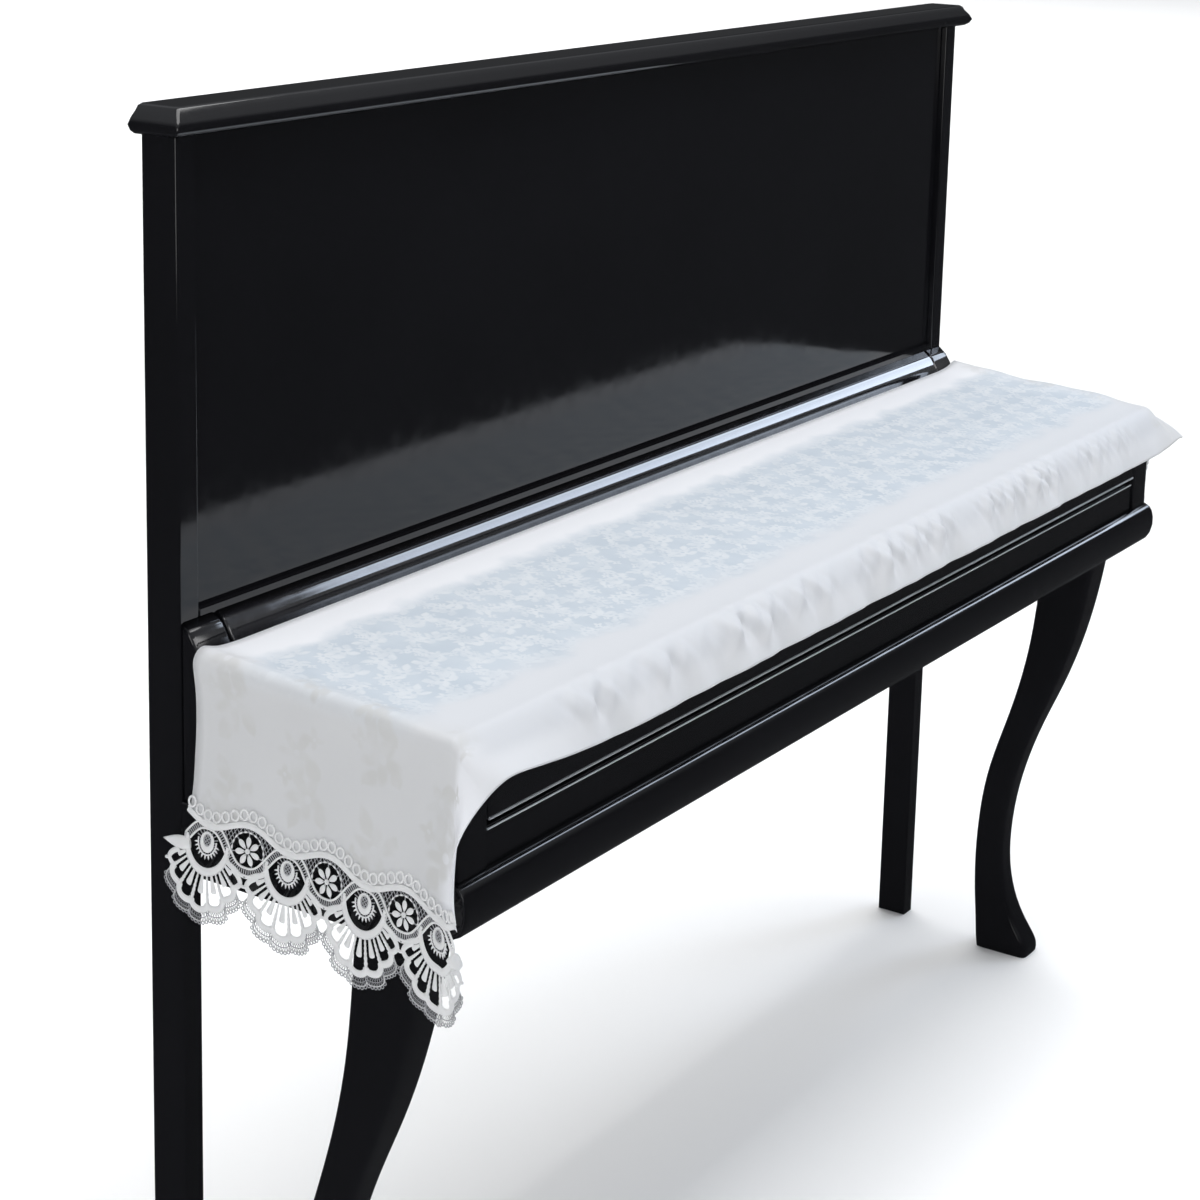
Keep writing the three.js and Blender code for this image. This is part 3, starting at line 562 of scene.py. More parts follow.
def spread_angles(part):
    return np.linspace(-part["angle"], part["angle"], part["count"])


def heading_strokes():
    across = np.linspace(HEAD_START - BAND_PAST, HEAD_END + BAND_PAST, BAND_STEPS)
    band = np.stack([across, band_fall(across)], axis=1)
    strokes = [stroke(band, BAND_HALF, tape=True)]
    for side in (-1, 1):
        edge = band + [0, side * (BAND_HALF - BAND_CORD["inset"])]
        strokes.append(stroke(edge, BAND_CORD["half"]))
    for place in np.arange(HEAD_START, HEAD_END + 1, RING_PITCH):
        strokes.append(circle(place, band_fall(place) - RING_CENTRE, **RING))
    return strokes


def ribbon_strokes():
    across = np.linspace(FIRST_EYE - RIBBON_PAST_EYE, LAST_EYE + RIBBON_PAST_EYE, RIBBON_STEPS)
    line = np.stack([across, ribbon_fall(across)], axis=1)
    along = np.gradient(line, axis=0)
    along /= np.linalg.norm(along, axis=1, keepdims=True)
    side = np.stack([along[:, 1], -along[:, 0]], axis=1)
    strokes = [stroke(line + side * half, RIBBON_CORD) for half in (RIBBON_HALF, -RIBBON_HALF)]
    length = np.concatenate([[0], np.cumsum(np.linalg.norm(np.diff(line, axis=0), axis=1))])
    for place in np.arange(RUNG_START, length[-1], RUNG_PITCH):
        middle = np.array([np.interp(place, length, line[:, k]) for k in (0, 1)])
        across_way = np.array([np.interp(place, length, side[:, k]) for k in (0, 1)])
        rung = [middle - across_way * RIBBON_HALF, middle + across_way * RIBBON_HALF]
        strokes.append(stroke(rung, RUNG_HALF))
    return strokes


def eye_strokes(eye):
    """Oval eye with a net middle, short threads above it and a fringe of rays below."""
    turn = np.linspace(0, 2 * np.pi, EYE_RING["steps"], endpoint=False)
    ring_half = EYE_RING_HALF["mean"] + EYE_RING_HALF["change"] * np.cos(turn)
    net_fall = EYE_FALL - EYE_NET["rise"]
    strokes = [circle(eye, EYE_FALL, half=ring_half, tape=True, **EYE_RING)]
    strokes.append(circle(eye, net_fall, **EYE_NET_RING))
    for offset in (-EYE_NET["pitch"], 0, EYE_NET["pitch"]):
        for lean in (-1, 1):
            reach = math.sqrt(EYE_NET["radius"] ** 2 - offset ** 2)
            way = np.array([lean, 1]) / math.sqrt(2) * reach
            middle = np.array([eye + offset / math.sqrt(2), net_fall - lean * offset / math.sqrt(2)])
            strokes.append(stroke([middle - way, middle + way], EYE_NET["half"]))
    under = spread_angles(EYE_CORD)
    strokes.append(stroke(around(eye, under, bowl_reach(under, *EYE_CORD["oval"])), EYE_CORD["half"]))
    for angle in spread_angles(EYE_TIES):
        cord_reach = bowl_reach(angle, *EYE_CORD["oval"])
        tie = around(eye, angle, np.array([cord_reach - EYE_TIES["length"], cord_reach]))
        strokes.append(stroke(tie, EYE_TIES["half"]))
    for angle in spread_angles(EYE_RAYS):
        ray = around(eye, angle, bowl_reach(angle, *EYE_CORD["oval"]) + EYE_RAYS["past"])
        strokes.append(stroke(ray, EYE_RAYS["half"]))
    for angle in np.linspace(EYE_THREADS["first"], 2 * np.pi - EYE_THREADS["first"], EYE_THREADS["count"]):
        strokes.append(stroke(around(eye, angle, EYE_THREADS["reach"]), EYE_THREADS["half"]))
    return strokes


def bowl_strokes(eye, tails):
    """Solid bowl under an eye, with its outer cord and the tails that reach towards the next eyes."""
    angle = spread_angles(BOWL)
    half = mix(BOWL["half"], BOWL["side_half"], np.abs(angle / BOWL["angle"]) ** BOWL["taper"])
    strokes = [stroke(around(eye, angle, bowl_reach(angle, *BOWL["oval"])), half, tape=True)]
    strokes.append(stroke(around(eye, angle, bowl_reach(angle, *BOWL_EDGE["oval"])), BOWL_EDGE["half"]))
    for side in tails:
        start, tip = (np.array([eye + side * x, EYE_FALL + fall]) for x, fall in (TAIL["start"], TAIL["tip"]))
        strokes.append(petal(start, tip, TAIL["half"], fullness=TAIL["fullness"]))
    return strokes


def wing_strokes(eye, side):
    """Leaf that ends the lace where it is trimmed, past the first and the last eye."""
    share = np.linspace(0, 1, len(WING_HALF))
    across = eye + side * mix(WING["start"], WING["tip"], share)
    fall = EYE_FALL + WING["fall"] + WING["droop"] * share ** WING["curve"]
    leaf_line = np.stack([across, fall], axis=1)
    return [stroke(leaf_line, WING_HALF, tape=True), stroke(leaf_line, np.minimum(WING_HALF, WING["cord"]))]


def scallop(apexes, notch, k, rounding):
    """Turn from the middle of lobe k and radius along one scalloped line, from notch to notch."""
    share = np.linspace(-1, 1, LOBE_STEPS)
    first, last = k == 0, k == FAN_LOBES - 1
    low = FAN_SIDE_FOOT if first else (apexes[k - 1] + apexes[k]) / 2 - notch
    high = FAN_SIDE_FOOT if last else (apexes[k] + apexes[k + 1]) / 2 - notch
    left = FAN_SIDE_CURL if first else FAN_LOBE / 2
    right = FAN_SIDE_CURL if last else FAN_LOBE / 2
    rise = np.maximum(1 - share ** 2, 0) ** rounding
    return share * np.where(share < 0, left, right), mix(np.where(share < 0, low, high), apexes[k], rise)


def fan_strokes(eye):
    """Seven lobes: a solid scalloped border, a club-shaped finger in each lobe and cords between them."""
    strokes = []
    angles = np.linspace(-FAN_HALF_ANGLE, FAN_HALF_ANGLE, FAN_LOBES)
    reaches = fan_radius(angles)
    borders = BORDER_AT * reaches - BORDER_HALF
    borders[[0, -1]] = FAN_SIDE_RADIUS - BORDER_SIDE["inset"]
    rims = reaches - RIM_INSET
    loops = reaches * mix(LOOP_AT["middle"], LOOP_AT["side"], (angles / FAN_HALF_ANGLE) ** 2)
    for k, angle in enumerate(angles):
        outermost = k in (0, FAN_LOBES - 1)
        strokes.append(finger(eye, angle, loops[k] - FINGER["side_inset" if outermost else "inset"]))
        turn, radius = scallop(borders, BORDER_NOTCH, k, BORDER_ROUND)
        border_half = BORDER_SIDE["half"] if outermost else BORDER_HALF
        strokes.append(stroke(around(eye, angle + turn, radius), border_half, tape=True))
        if outermost:
            apex = around(eye, angle, borders[k])
            next_fan = eye + np.sign(angle) * (REPEAT / 2 + FAN_TIE["past"])
            strokes.append(stroke([apex, [next_fan, apex[1] + FAN_TIE["drop"]]], FAN_TIE["half"]))
        else:
            _, rim = scallop(rims, RIM_NOTCH, k, RIM_ROUND)
            strokes.extend(edging_strokes(eye, angle + turn, radius + BORDER_HALF - EDGING["overlap"], rim))
        if k + 1 < FAN_LOBES:
            notch_radius = (borders[k] + borders[k + 1]) / 2 - BORDER_NOTCH
            strokes.append(twisted(eye, angle + FAN_LOBE / 2, notch_radius))
    return strokes


def finger(eye, angle, tip):
    """Solid club-shaped finger of the fan with a round outer end."""
    half = mix(FINGER["thin"], FINGER["spread"] * FAN_LOBE * tip, FINGER_SHARE) * FINGER_TAPER
    reach = mix(bowl_reach(angle, *FAN_FOOT), tip, FINGER_SHARE)
    return stroke(around(eye, angle, reach), half, tape=True)


def twisted(eye, angle, tip):
    """Cord between two fingers, beaded by its twist and thicker outwards."""
    steps = TWIST["steps"]
    radius = np.linspace(bowl_reach(angle, *FAN_FOOT), tip, steps)
    beads = 1 + TWIST["bead"] * np.cos(np.pi * np.arange(steps))
    half = mix(TWIST["thin"], TWIST["thick"], np.linspace(0, 1, steps)) * beads
    return stroke(around(eye, angle, radius), half)


def edging_strokes(eye, places, inner, rim):
    """Open net and small loops outside the solid border of one lobe."""
    strokes = [stroke(around(eye, places, rim), EDGING["rim_half"])]
    strokes.append(stroke(around(eye, places, mix(inner, rim, EDGING["middle"])), EDGING["middle_half"]))
    steps = np.arange(len(places))
    knots = np.arange(EDGING_NET["knots"])
    net = np.linspace(0, len(places) - 1, len(knots))
    net_places = np.interp(net, steps, places)
    for odd in (0, 1):
        zigzag = np.where(knots % 2 == odd, np.interp(net, steps, rim), np.interp(net, steps, inner))
        strokes.append(stroke(around(eye, net_places, zigzag), EDGING_NET["half"]))
    margin = EDGING_LOOPS["margin"]
    for place in np.linspace(margin, len(places) - 1 - margin, EDGING_LOOPS["count"]):
        reach = np.interp(place, steps, rim) + EDGING_LOOPS["past"]
        centre = around(eye, np.interp(place, steps, places), reach)
        strokes.append(circle(*centre, **EDGING_LOOP))
    return strokes


def flower_strokes(flower):
    """Pear-shaped petals on threads that hold them in the open space, under an arch of net."""
    strokes = []
    centre = np.array([flower, FLOWER_FALL])
    for k in range(PETALS):
        angle = 2 * np.pi * (k + 0.5) / PETALS
        way = np.array([math.sin(angle), math.cos(angle)])
        foot, tip = (centre + way * reach for reach in PETAL_REACH)
        strokes.append(petal(foot, tip, **PETAL_SHAPE))
        for thread in (VEIN, STAY):
            strokes.append(stroke([centre + way * reach for reach in thread["reach"]], thread["half"]))
    strokes.append(circle(flower, FLOWER_FALL, **FLOWER_HEART))
    top = np.linspace(np.pi - ARCH["angle"], np.pi + ARCH["angle"], ARCH["count"])
    arch = centre + FLOWER_HOLE * np.stack([np.sin(top), np.cos(top)], axis=1)
    beads = ARCH["half"] + ARCH["bead"] * np.cos(np.pi * np.arange(ARCH["count"]))
    strokes.append(stroke(arch, beads))
    return strokes


def net_strokes(flower):
    """Fine crossed threads between the band, the ribbon and the round hole of the flower."""
    strokes = []
    for lean in (-1, 1):
        for offset in np.arange(-NET["reach"], NET["reach"], NET_PITCH):
            t = np.arange(-NET["run"], NET["run"], NET["step"])
            across = flower + offset + lean * t * NET["lean"]
            fall = NET["fall"] + t
            inside = fall > band_fall(across) + NET["margin"]
            inside &= fall < ribbon_fall(across) - NET["margin"]
            inside &= np.hypot(across - flower, fall - FLOWER_FALL) > FLOWER_HOLE
            inside &= (np.abs(across - flower) < REPEAT / 2) & (fall < FLOWER_FALL + NET["below_flower"])
            strokes.extend(runs_inside(np.stack([across, fall], axis=1), inside))
    return strokes


def runs_inside(points, inside):
    """Threads along the stretches of a line that lie inside."""
    edges = np.flatnonzero(np.diff(np.concatenate([[0], inside.astype(int), [0]])))
    runs = []
    for first, last in zip(edges[::2], edges[1::2]):
        if last - first > NET_THREAD["least"]:
            count = max(NET_THREAD["least"], (last - first) // NET_THREAD["stride"] + 1)
            picked = np.linspace(first, last - 1, count).astype(int)
            runs.append(stroke(points[picked], NET_THREAD["half"]))
    return runs


def lace_strokes():
    strokes = heading_strokes() + ribbon_strokes()
    strokes += wing_strokes(FIRST_EYE, -1) + wing_strokes(LAST_EYE, 1)
    for k in range(REPEATS):
        eye = FIRST_EYE + k * REPEAT
        tails = [side for side in (-1, 1) if 0 <= k + side < REPEATS]
        strokes += eye_strokes(eye) + bowl_strokes(eye, tails) + fan_strokes(eye)
        if k + 1 < REPEATS:
            strokes += flower_strokes(eye + REPEAT / 2) + net_strokes(eye + REPEAT / 2)
    return strokes


def lace_lift(end, across):
    fold = fold_across(end, BAND_FALL - END_SHIFT[end])
    beyond = np.abs(across - fold - FOLD_BAND["offset"]) - FOLD_BAND["half"]
    near_fold = 1 - smooth(beyond / FOLD_BAND["fade"])
    return CLOTH_THICK / 2 + SEW_GAP + LACE_THICK / 2 + FOLD_GAP * near_fold


# Sides of the swept threads, and their height as a share of their width.
THREAD_SHAPE = {"Cord sides": 6, "Tape sides": 8, "Cord rise": 0.8, "Tape rise": 0.26}


def thread_tree(material):
    """Node tree that sweeps every thread: round cords, and flat tapes for the solid parts."""
    tree = bpy.data.node_groups.new("lace_threads", "GeometryNodeTree")
    face = tree.interface
    face.new_socket("Threads", in_out="INPUT", socket_type="NodeSocketGeometry")
    for name in ("Cord sides", "Tape sides"):
        face.new_socket(name, in_out="INPUT", socket_type="NodeSocketInt")
    for name in ("Cord rise", "Tape rise"):
        face.new_socket(name, in_out="INPUT", socket_type="NodeSocketFloat")
    face.new_socket("Lace", in_out="OUTPUT", socket_type="NodeSocketGeometry")
    nodes, links = tree.nodes, tree.links
    source = nodes.new("NodeGroupInput")
    target = nodes.new("NodeGroupOutput")

    def attribute(name, kind):
        node = nodes.new("GeometryNodeInputNamedAttribute")
        node.data_type = kind
        node.inputs["Name"].default_value = name
        return node.outputs["Attribute"]

    split = nodes.new("GeometryNodeSeparateGeometry")
    split.domain = "POINT"
    links.new(source.outputs["Threads"], split.inputs["Geometry"])
    links.new(attribute("tape", "BOOLEAN"), split.inputs["Selection"])
    join = nodes.new("GeometryNodeJoinGeometry")
    for kind, part in (("Tape", "Selection"), ("Cord", "Inverted")):
        curve = nodes.new("GeometryNodeMeshToCurve")
        links.new(split.outputs[part], curve.inputs["Mesh"])
        facing = nodes.new("GeometryNodeSetCurveNormal")
        facing.mode = "FREE"
        links.new(curve.outputs["Curve"], facing.inputs["Curve"])
        links.new(attribute("facing", "FLOAT_VECTOR"), facing.inputs["Normal"])
        profile = nodes.new("GeometryNodeCurvePrimitiveCircle")
        links.new(source.outputs[f"{kind} sides"], profile.inputs["Resolution"])
        profile.inputs["Radius"].default_value = 1.0
        scale = nodes.new("ShaderNodeCombineXYZ")
        scale.inputs["Y"].default_value = 1.0
        scale.inputs["Z"].default_value = 1.0
        links.new(source.outputs[f"{kind} rise"], scale.inputs["X"])
        flatten = nodes.new("GeometryNodeTransform")
        links.new(profile.outputs["Curve"], flatten.inputs["Geometry"])
        links.new(scale.outputs["Vector"], flatten.inputs["Scale"])
        sweep = nodes.new("GeometryNodeCurveToMesh")
        links.new(facing.outputs["Curve"], sweep.inputs["Curve"])
        links.new(flatten.outputs["Geometry"], sweep.inputs["Profile Curve"])
        links.new(attribute("half_width", "FLOAT"), sweep.inputs["Scale"])
        sweep.inputs["Fill Caps"].default_value = True
        links.new(sweep.outputs["Mesh"], join.inputs["Geometry"])
    shade = nodes.new("GeometryNodeSetShadeSmooth")
    links.new(join.outputs["Geometry"], shade.inputs["Geometry"])
    real = nodes.new("GeometryNodeRealizeInstances")
    links.new(shade.outputs["Geometry"], real.inputs["Geometry"])
    finish = nodes.new("GeometryNodeSetMaterial")
    finish.inputs["Material"].default_value = material
    links.new(real.outputs["Geometry"], finish.inputs["Geometry"])
    links.new(finish.outputs["Geometry"], target.inputs["Lace"])
    return tree


def lace_trim(end, tree, material):
    strokes = lace_strokes()
    flat = np.concatenate([s["points"] for s in strokes])
    half = np.concatenate([s["half"] for s in strokes]) * MM
    tape = np.concatenate([np.full(len(s["points"]), s["tape"]) for s in strokes])
    edges = []
    first = 0
    for s in strokes:
        count = len(s["points"])
        chain = [(first + i, first + i + 1) for i in range(count - 1)]
        if s["closed"]:
            chain.append((first + count - 1, first))
        edges += chain
        first += count
    across, run = flat[:, 0], flat[:, 1] - END_SHIFT[end]
    row = across_to_row(end, run, across)
    points, normals = placed(end, run, row, lace_lift(end, across))
    mesh = bpy.data.meshes.new(f"lace_{end}_threads")
    mesh.from_pydata(to_frame(points).tolist(), edges, [])
    mesh.attributes.new("half_width", "FLOAT", "POINT").data.foreach_set("value", half)
    mesh.attributes.new("tape", "BOOLEAN", "POINT").data.foreach_set("value", tape)
    mesh.attributes.new("facing", "FLOAT_VECTOR", "POINT").data.foreach_set("vector", normals.ravel())
    mesh.materials.append(material)
    lace = add_object(f"lace_{end}_threads", mesh)
    sweep = lace.modifiers.new("threads", "NODES")
    sweep.node_group = tree
    for socket in tree.interface.items_tree:
        if socket.name in THREAD_SHAPE:
            sweep[socket.identifier] = THREAD_SHAPE[socket.name]
    return applied(lace)


# Case

# Thin beads along the seam of the lid and the slip, and how strongly they carry a painted highlight.
# Columns: place before the case (y), height (z), radius, share of painted highlight.
BEADS = {
    "key_lid": [LID_FRONT_Y, SHELF_Z + 43.4, 1.3, 0.62],
    "key_slip": [LID_FRONT_Y + 2, SHELF_Z + 33.4, 0.9, 1.0],
}
BEAD_SIDES = 14
BEAD_INSET = 1


def add_bead(board, node_name):
    """Round bead along the front of a board, its vertices marked to carry a painted highlight line."""
    low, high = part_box(node_name)
    place_y, place_z, radius, highlight_share = BEADS[node_name]
    _, y, z = to_frame(np.array([0, place_y, place_z]))
    painted_highlight = board.verts.layers.float.new("painted_highlight")
    rings = []
    for x in (low[0] + BEAD_INSET * MM, high[0] - BEAD_INSET * MM):
        turn = np.linspace(0, 2 * np.pi, BEAD_SIDES, endpoint=False)
        ring_y = y + radius * MM * np.cos(turn)
        ring_z = z + radius * MM * np.sin(turn)
        rings.append([board.verts.new((x, b, c)) for b, c in zip(ring_y, ring_z)])
    first, last = rings
    for vert in first + last:
        vert[painted_highlight] = highlight_share
    faces = [board.faces.new((first[i], first[i - 1], last[i - 1], last[i])) for i in range(len(first))]
    faces += [board.faces.new(first), board.faces.new(last)]
    bmesh.ops.recalc_face_normals(board, faces=faces)


def polished(node_name, material):
    """Copy of a case board with joined corners and smooth rounded edges."""
    name = f"{node_name}_lacquered"
    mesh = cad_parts[node_name].data.copy()
    mesh.name = name
    board = bmesh.new()
    board.from_mesh(mesh)
    bmesh.ops.remove_doubles(board, verts=board.verts, dist=JOIN_DISTANCE)
    flat_angle = math.radians(FLAT_ANGLE)
    bmesh.ops.dissolve_limit(board, angle_limit=flat_angle, verts=board.verts, edges=board.edges)
    if node_name in BEADS:
        add_bead(board, node_name)
    board.to_mesh(mesh)
    board.free()
    mesh.shade_smooth()
    mesh.set_sharp_from_angle(angle=math.radians(SHARP_ANGLE))
    mesh.materials.clear()
    mesh.materials.append(material)
    piece = add_object(name, mesh)
    flat = piece.modifiers.new("flat_faces", "WEIGHTED_NORMAL")
    flat.weight = FACE_WEIGHT["rounded" if node_name in ROUNDED_NODES else "plain"]
    flat.keep_sharp = True
    return applied(piece)


def curved_leg(node_name, material):
    """Copy of a front leg with its sections blended into one smooth curve."""
    leg = polished(node_name, material)
    mesh = leg.data
    crease = mesh.attributes.new("crease_edge", "FLOAT", "EDGE")
    heights = [v.co.z for v in mesh.vertices]
    low, high = min(heights), max(heights)
    for edge in mesh.edges:
        ends = [heights[v] for v in edge.vertices]
        flat_end = any(all(abs(z - level) < LEG_END_BAND for z in ends) for level in (low, high))
        crease.data[edge.index].value = 1.0 if flat_end else 0.0
    rounding = leg.modifiers.new("rounding", "SUBSURF")
    rounding.levels = rounding.render_levels = LEG_ROUNDING
    return applied(leg)


# Materials

class Finish:
    """Builds one procedural material, a node at a time."""

    def __init__(self, name):
        self.material = bpy.data.materials.new(name)
        self.material.use_nodes = True
        self.nodes = self.material.node_tree.nodes
        self.links = self.material.node_tree.links
        self.shader = self.nodes["Principled BSDF"]

    def connect(self, value, socket):
        if isinstance(value, bpy.types.NodeSocket):
            self.links.new(value, socket)
        else:
            socket.default_value = value

    def math(self, operation, *values):
        node = self.nodes.new("ShaderNodeMath")
        node.operation = operation
        for value, socket in zip(values, node.inputs):
            self.connect(value, socket)
        return node.outputs[0]

    def weighted(self, first, first_share, second, second_share):
        """Sum of two values, each times its share."""
        near = self.math("MULTIPLY", first, first_share)
        return self.math("ADD", near, self.math("MULTIPLY", second, second_share))

    def ease(self, value, low, high, to_low=0.0, to_high=1.0):
        node = self.nodes.new("ShaderNodeMapRange")
        node.interpolation_type = "SMOOTHSTEP"
        for socket, number in zip(node.inputs, (value, low, high, to_low, to_high)):
            self.connect(number, socket)
        return node.outputs[0]

    def blend(self, share, first, second):
        node = self.nodes.new("ShaderNodeMix")
        node.data_type = "RGBA"
        self.connect(share, node.inputs["Factor"])
        self.connect(first, node.inputs["A"])
        self.connect(second, node.inputs["B"])
        return node.outputs["Result"]

    def noise(self, vector, scale, detail):
        node = self.nodes.new("ShaderNodeTexNoise")
        self.links.new(vector, node.inputs["Vector"])
        node.inputs["Scale"].default_value = scale
        node.inputs["Detail"].default_value = detail
        return node.outputs["Fac"]

    def bump(self, height, strength, distance):
        node = self.nodes.new("ShaderNodeBump")
        node.inputs["Strength"].default_value = strength
        node.inputs["Distance"].default_value = distance
        self.links.new(height, node.inputs["Height"])
        self.links.new(node.outputs["Normal"], self.shader.inputs["Normal"])

    def attribute(self, name):
        node = self.nodes.new("ShaderNodeAttribute")
        node.attribute_name = name
        return node.outputs["Fac"]

    def object_place(self):
        return self.nodes.new("ShaderNodeTexCoord").outputs["Object"]

    def set(self, **values):
        for name, value in values.items():
            self.connect(value, self.shader.inputs[name.replace("_", " ")])


def repeat_cell(finish, u, v, width, height):
    """Place inside a half-drop repeat, mirrored in every other cell."""
    row = finish.math("FLOOR", finish.math("DIVIDE", v, height))
    drop = finish.math("MULTIPLY", finish.math("PINGPONG", row, 1.0), 0.5)
    column = finish.math("ADD", finish.math("DIVIDE", u, width), drop)
    number = finish.math("FLOOR", column)
    x = finish.math("MULTIPLY", finish.math("SUBTRACT", finish.math("FRACT", column), 0.5), width)
    inside_row = finish.math("FRACT", finish.math("DIVIDE", v, height))
    y = finish.math("MULTIPLY", finish.math("SUBTRACT", inside_row, 0.5), height)
    odd = finish.math("PINGPONG", number, 1.0)
    side = finish.math("SUBTRACT", 1.0, finish.math("MULTIPLY", odd, 2.0))
    return finish.math("MULTIPLY", x, side), y


# Wave and mean of a blossom's outline, and its soft edges, as shares of its radius, and the edge of a leaf.
BLOSSOM_REACH = (0.3, 0.7)
BLOSSOM_EDGE = (-0.4, 0.15)
BLOSSOM_HEART = (0.16, 0.26)
LEAF_EDGE = (1.4, 0.7)


def blossom(finish, x, y, centre, radius, petals):
    dx = finish.math("SUBTRACT", x, centre[0])
    dy = finish.math("SUBTRACT", y, centre[1])
    distance = finish.math("SQRT", finish.weighted(dx, dx, dy, dy))
    angle = finish.math("ARCTAN2", dy, dx)
    wave = finish.math("COSINE", finish.math("MULTIPLY", angle, petals))
    reach = finish.math("MULTIPLY_ADD", wave, *(share * radius for share in BLOSSOM_REACH))
    inside = finish.math("SUBTRACT", reach, distance)
    petal_mask = finish.ease(inside, *(share * radius for share in BLOSSOM_EDGE))
    heart = finish.ease(distance, *(share * radius for share in BLOSSOM_HEART))
    return finish.math("MULTIPLY", petal_mask, heart)


def leaf(finish, x, y, centre, angle, length, width):
    dx = finish.math("SUBTRACT", x, centre[0])
    dy = finish.math("SUBTRACT", y, centre[1])
    c, s = math.cos(angle), math.sin(angle)
    along = finish.weighted(dx, c / length, dy, s / length)
    aside = finish.weighted(dx, -s / width, dy, c / width)
    reach = finish.math("ADD", finish.math("MULTIPLY", along, along), finish.math("ABSOLUTE", aside))
    return finish.ease(reach, *LEAF_EDGE)


# Flowers of one spray, as shares of its size. Columns: place along, place up, radius, petals.
BLOSSOMS = [[0.36, 0.08, 0.42, 5], [-0.42, -0.2, 0.32, 5], [-0.78, 0.22, 0.2, 4], [0.1, -0.42, 0.18, 4]]
# Leaves of one spray, as shares of its size. Columns: place along, place up, turn, length, width.
LEAVES = [
    [-0.12, 0.22, 0.8, 0.28, 0.16], [-0.04, -0.12, -0.3, 0.26, 0.14], [0.84, -0.16, -0.5, 0.26, 0.15],
    [0.62, 0.42, 0.5, 0.22, 0.14], [-0.68, -0.06, 2.4, 0.22, 0.12],
]


def spray(finish, x, y, size):
    """Blossoms and leaves drawn in a space about two sizes wide and one high."""
    shapes = [blossom(finish, x, y, (a * size, b * size), r * size, petals) for a, b, r, petals in BLOSSOMS]
    shapes += [leaf(finish, x, y, (a * size, b * size), turn, length * size, width * size)
               for a, b, turn, length, width in LEAVES]
    motif = shapes[0]
    for shape in shapes[1:]:
        motif = finish.math("MAXIMUM", motif, shape)
    return motif


# Flowered field of the runner, and the soft edges of its tones, in metres of the flat cloth.
FIELD_BACK = 0.05
FIELD_FRONT = 0.226
FIELD_HALF_LENGTH = 0.748
FIELD_SOFT = {"back": 0.014, "front": 0.018, "end_out": 0.02, "end_in": 0.03}
FIELD_DRIFT = 0.05
# Where the cloth turns from the shelf to its hanging front and ends: there it carries painted shade, and the
# large flowers show on the ends.
HANG_FRONT = [0.245, 0.295]
HANG_END = [0.71, 0.77]
# Where the left wing in front of the corner fold starts, and the front hem: both carry painted light.
WING_ACROSS = [0.284, 0.302]
HEM_ACROSS = [0.306, 0.326]
# Tones of the cloth. The back, lip, front, hem, end and wing tones are painted light and shade: a paler lit
# back edge, a greyer lip, front and hanging ends in shade, and a paler lit wing and hem. The field, its pale
# cloud and the flowers are the woven pattern.
CLOTH_TONES = {
    "back": (0.93, 0.935, 0.96, 1),
    "lip": (0.75, 0.765, 0.795, 1),
    "front": (0.7, 0.715, 0.745, 1),
    "hem": (0.79, 0.8, 0.825, 1),
    "end": (0.7, 0.705, 0.715, 1),
    "wing": (0.87, 0.88, 0.915, 1),
    "field": (0.585, 0.65, 0.715, 1),
    "field_pale": (0.645, 0.705, 0.765, 1),
    "flower": (0.82, 0.85, 0.88, 1),
    "large_flower": (0.65, 0.65, 0.64, 1),
}
# Half-drop repeats of the sprays, in metres: width and height of a cell, and size of the spray.
NEAR_SPRAY = {"cell": (0.058, 0.034), "size": 0.025}
NEXT_SPRAY = {"cell": (0.051, 0.034), "size": 0.02, "shift": (0.021, 0.017), "strength": 0.8}
LARGE_SPRAY = {"cell": (0.118, 0.082), "size": 0.048}
SPRAY_SWAY = (0.016, -0.012)
# Uneven weaving: scale and detail of each noise, and the shares of it that show.
CLOTH_NOISE = {
    "cloud": (18.0, 3.0), "sway": (30.0, 1.0), "patches": (48.0, 2.0), "worn": (34.0, 2.0),
    "slub": (420.0, 2.0),
}
CLOUD_EDGE = (0.35, 0.65)
PATCH_EDGE = (0.3, 0.62)
PATCH_SHARE = (0.35, 0.85)
WORN_SHARE = (0.1, 0.8)
SATIN_ROUGHNESS = (0.62, 0.48)
WARP = {"scale": 900, "strength": 0.4}
WEAVE_SHARE = 0.35
WEAVE_BUMP = {"strength": 0.35, "distance": 0.0003}


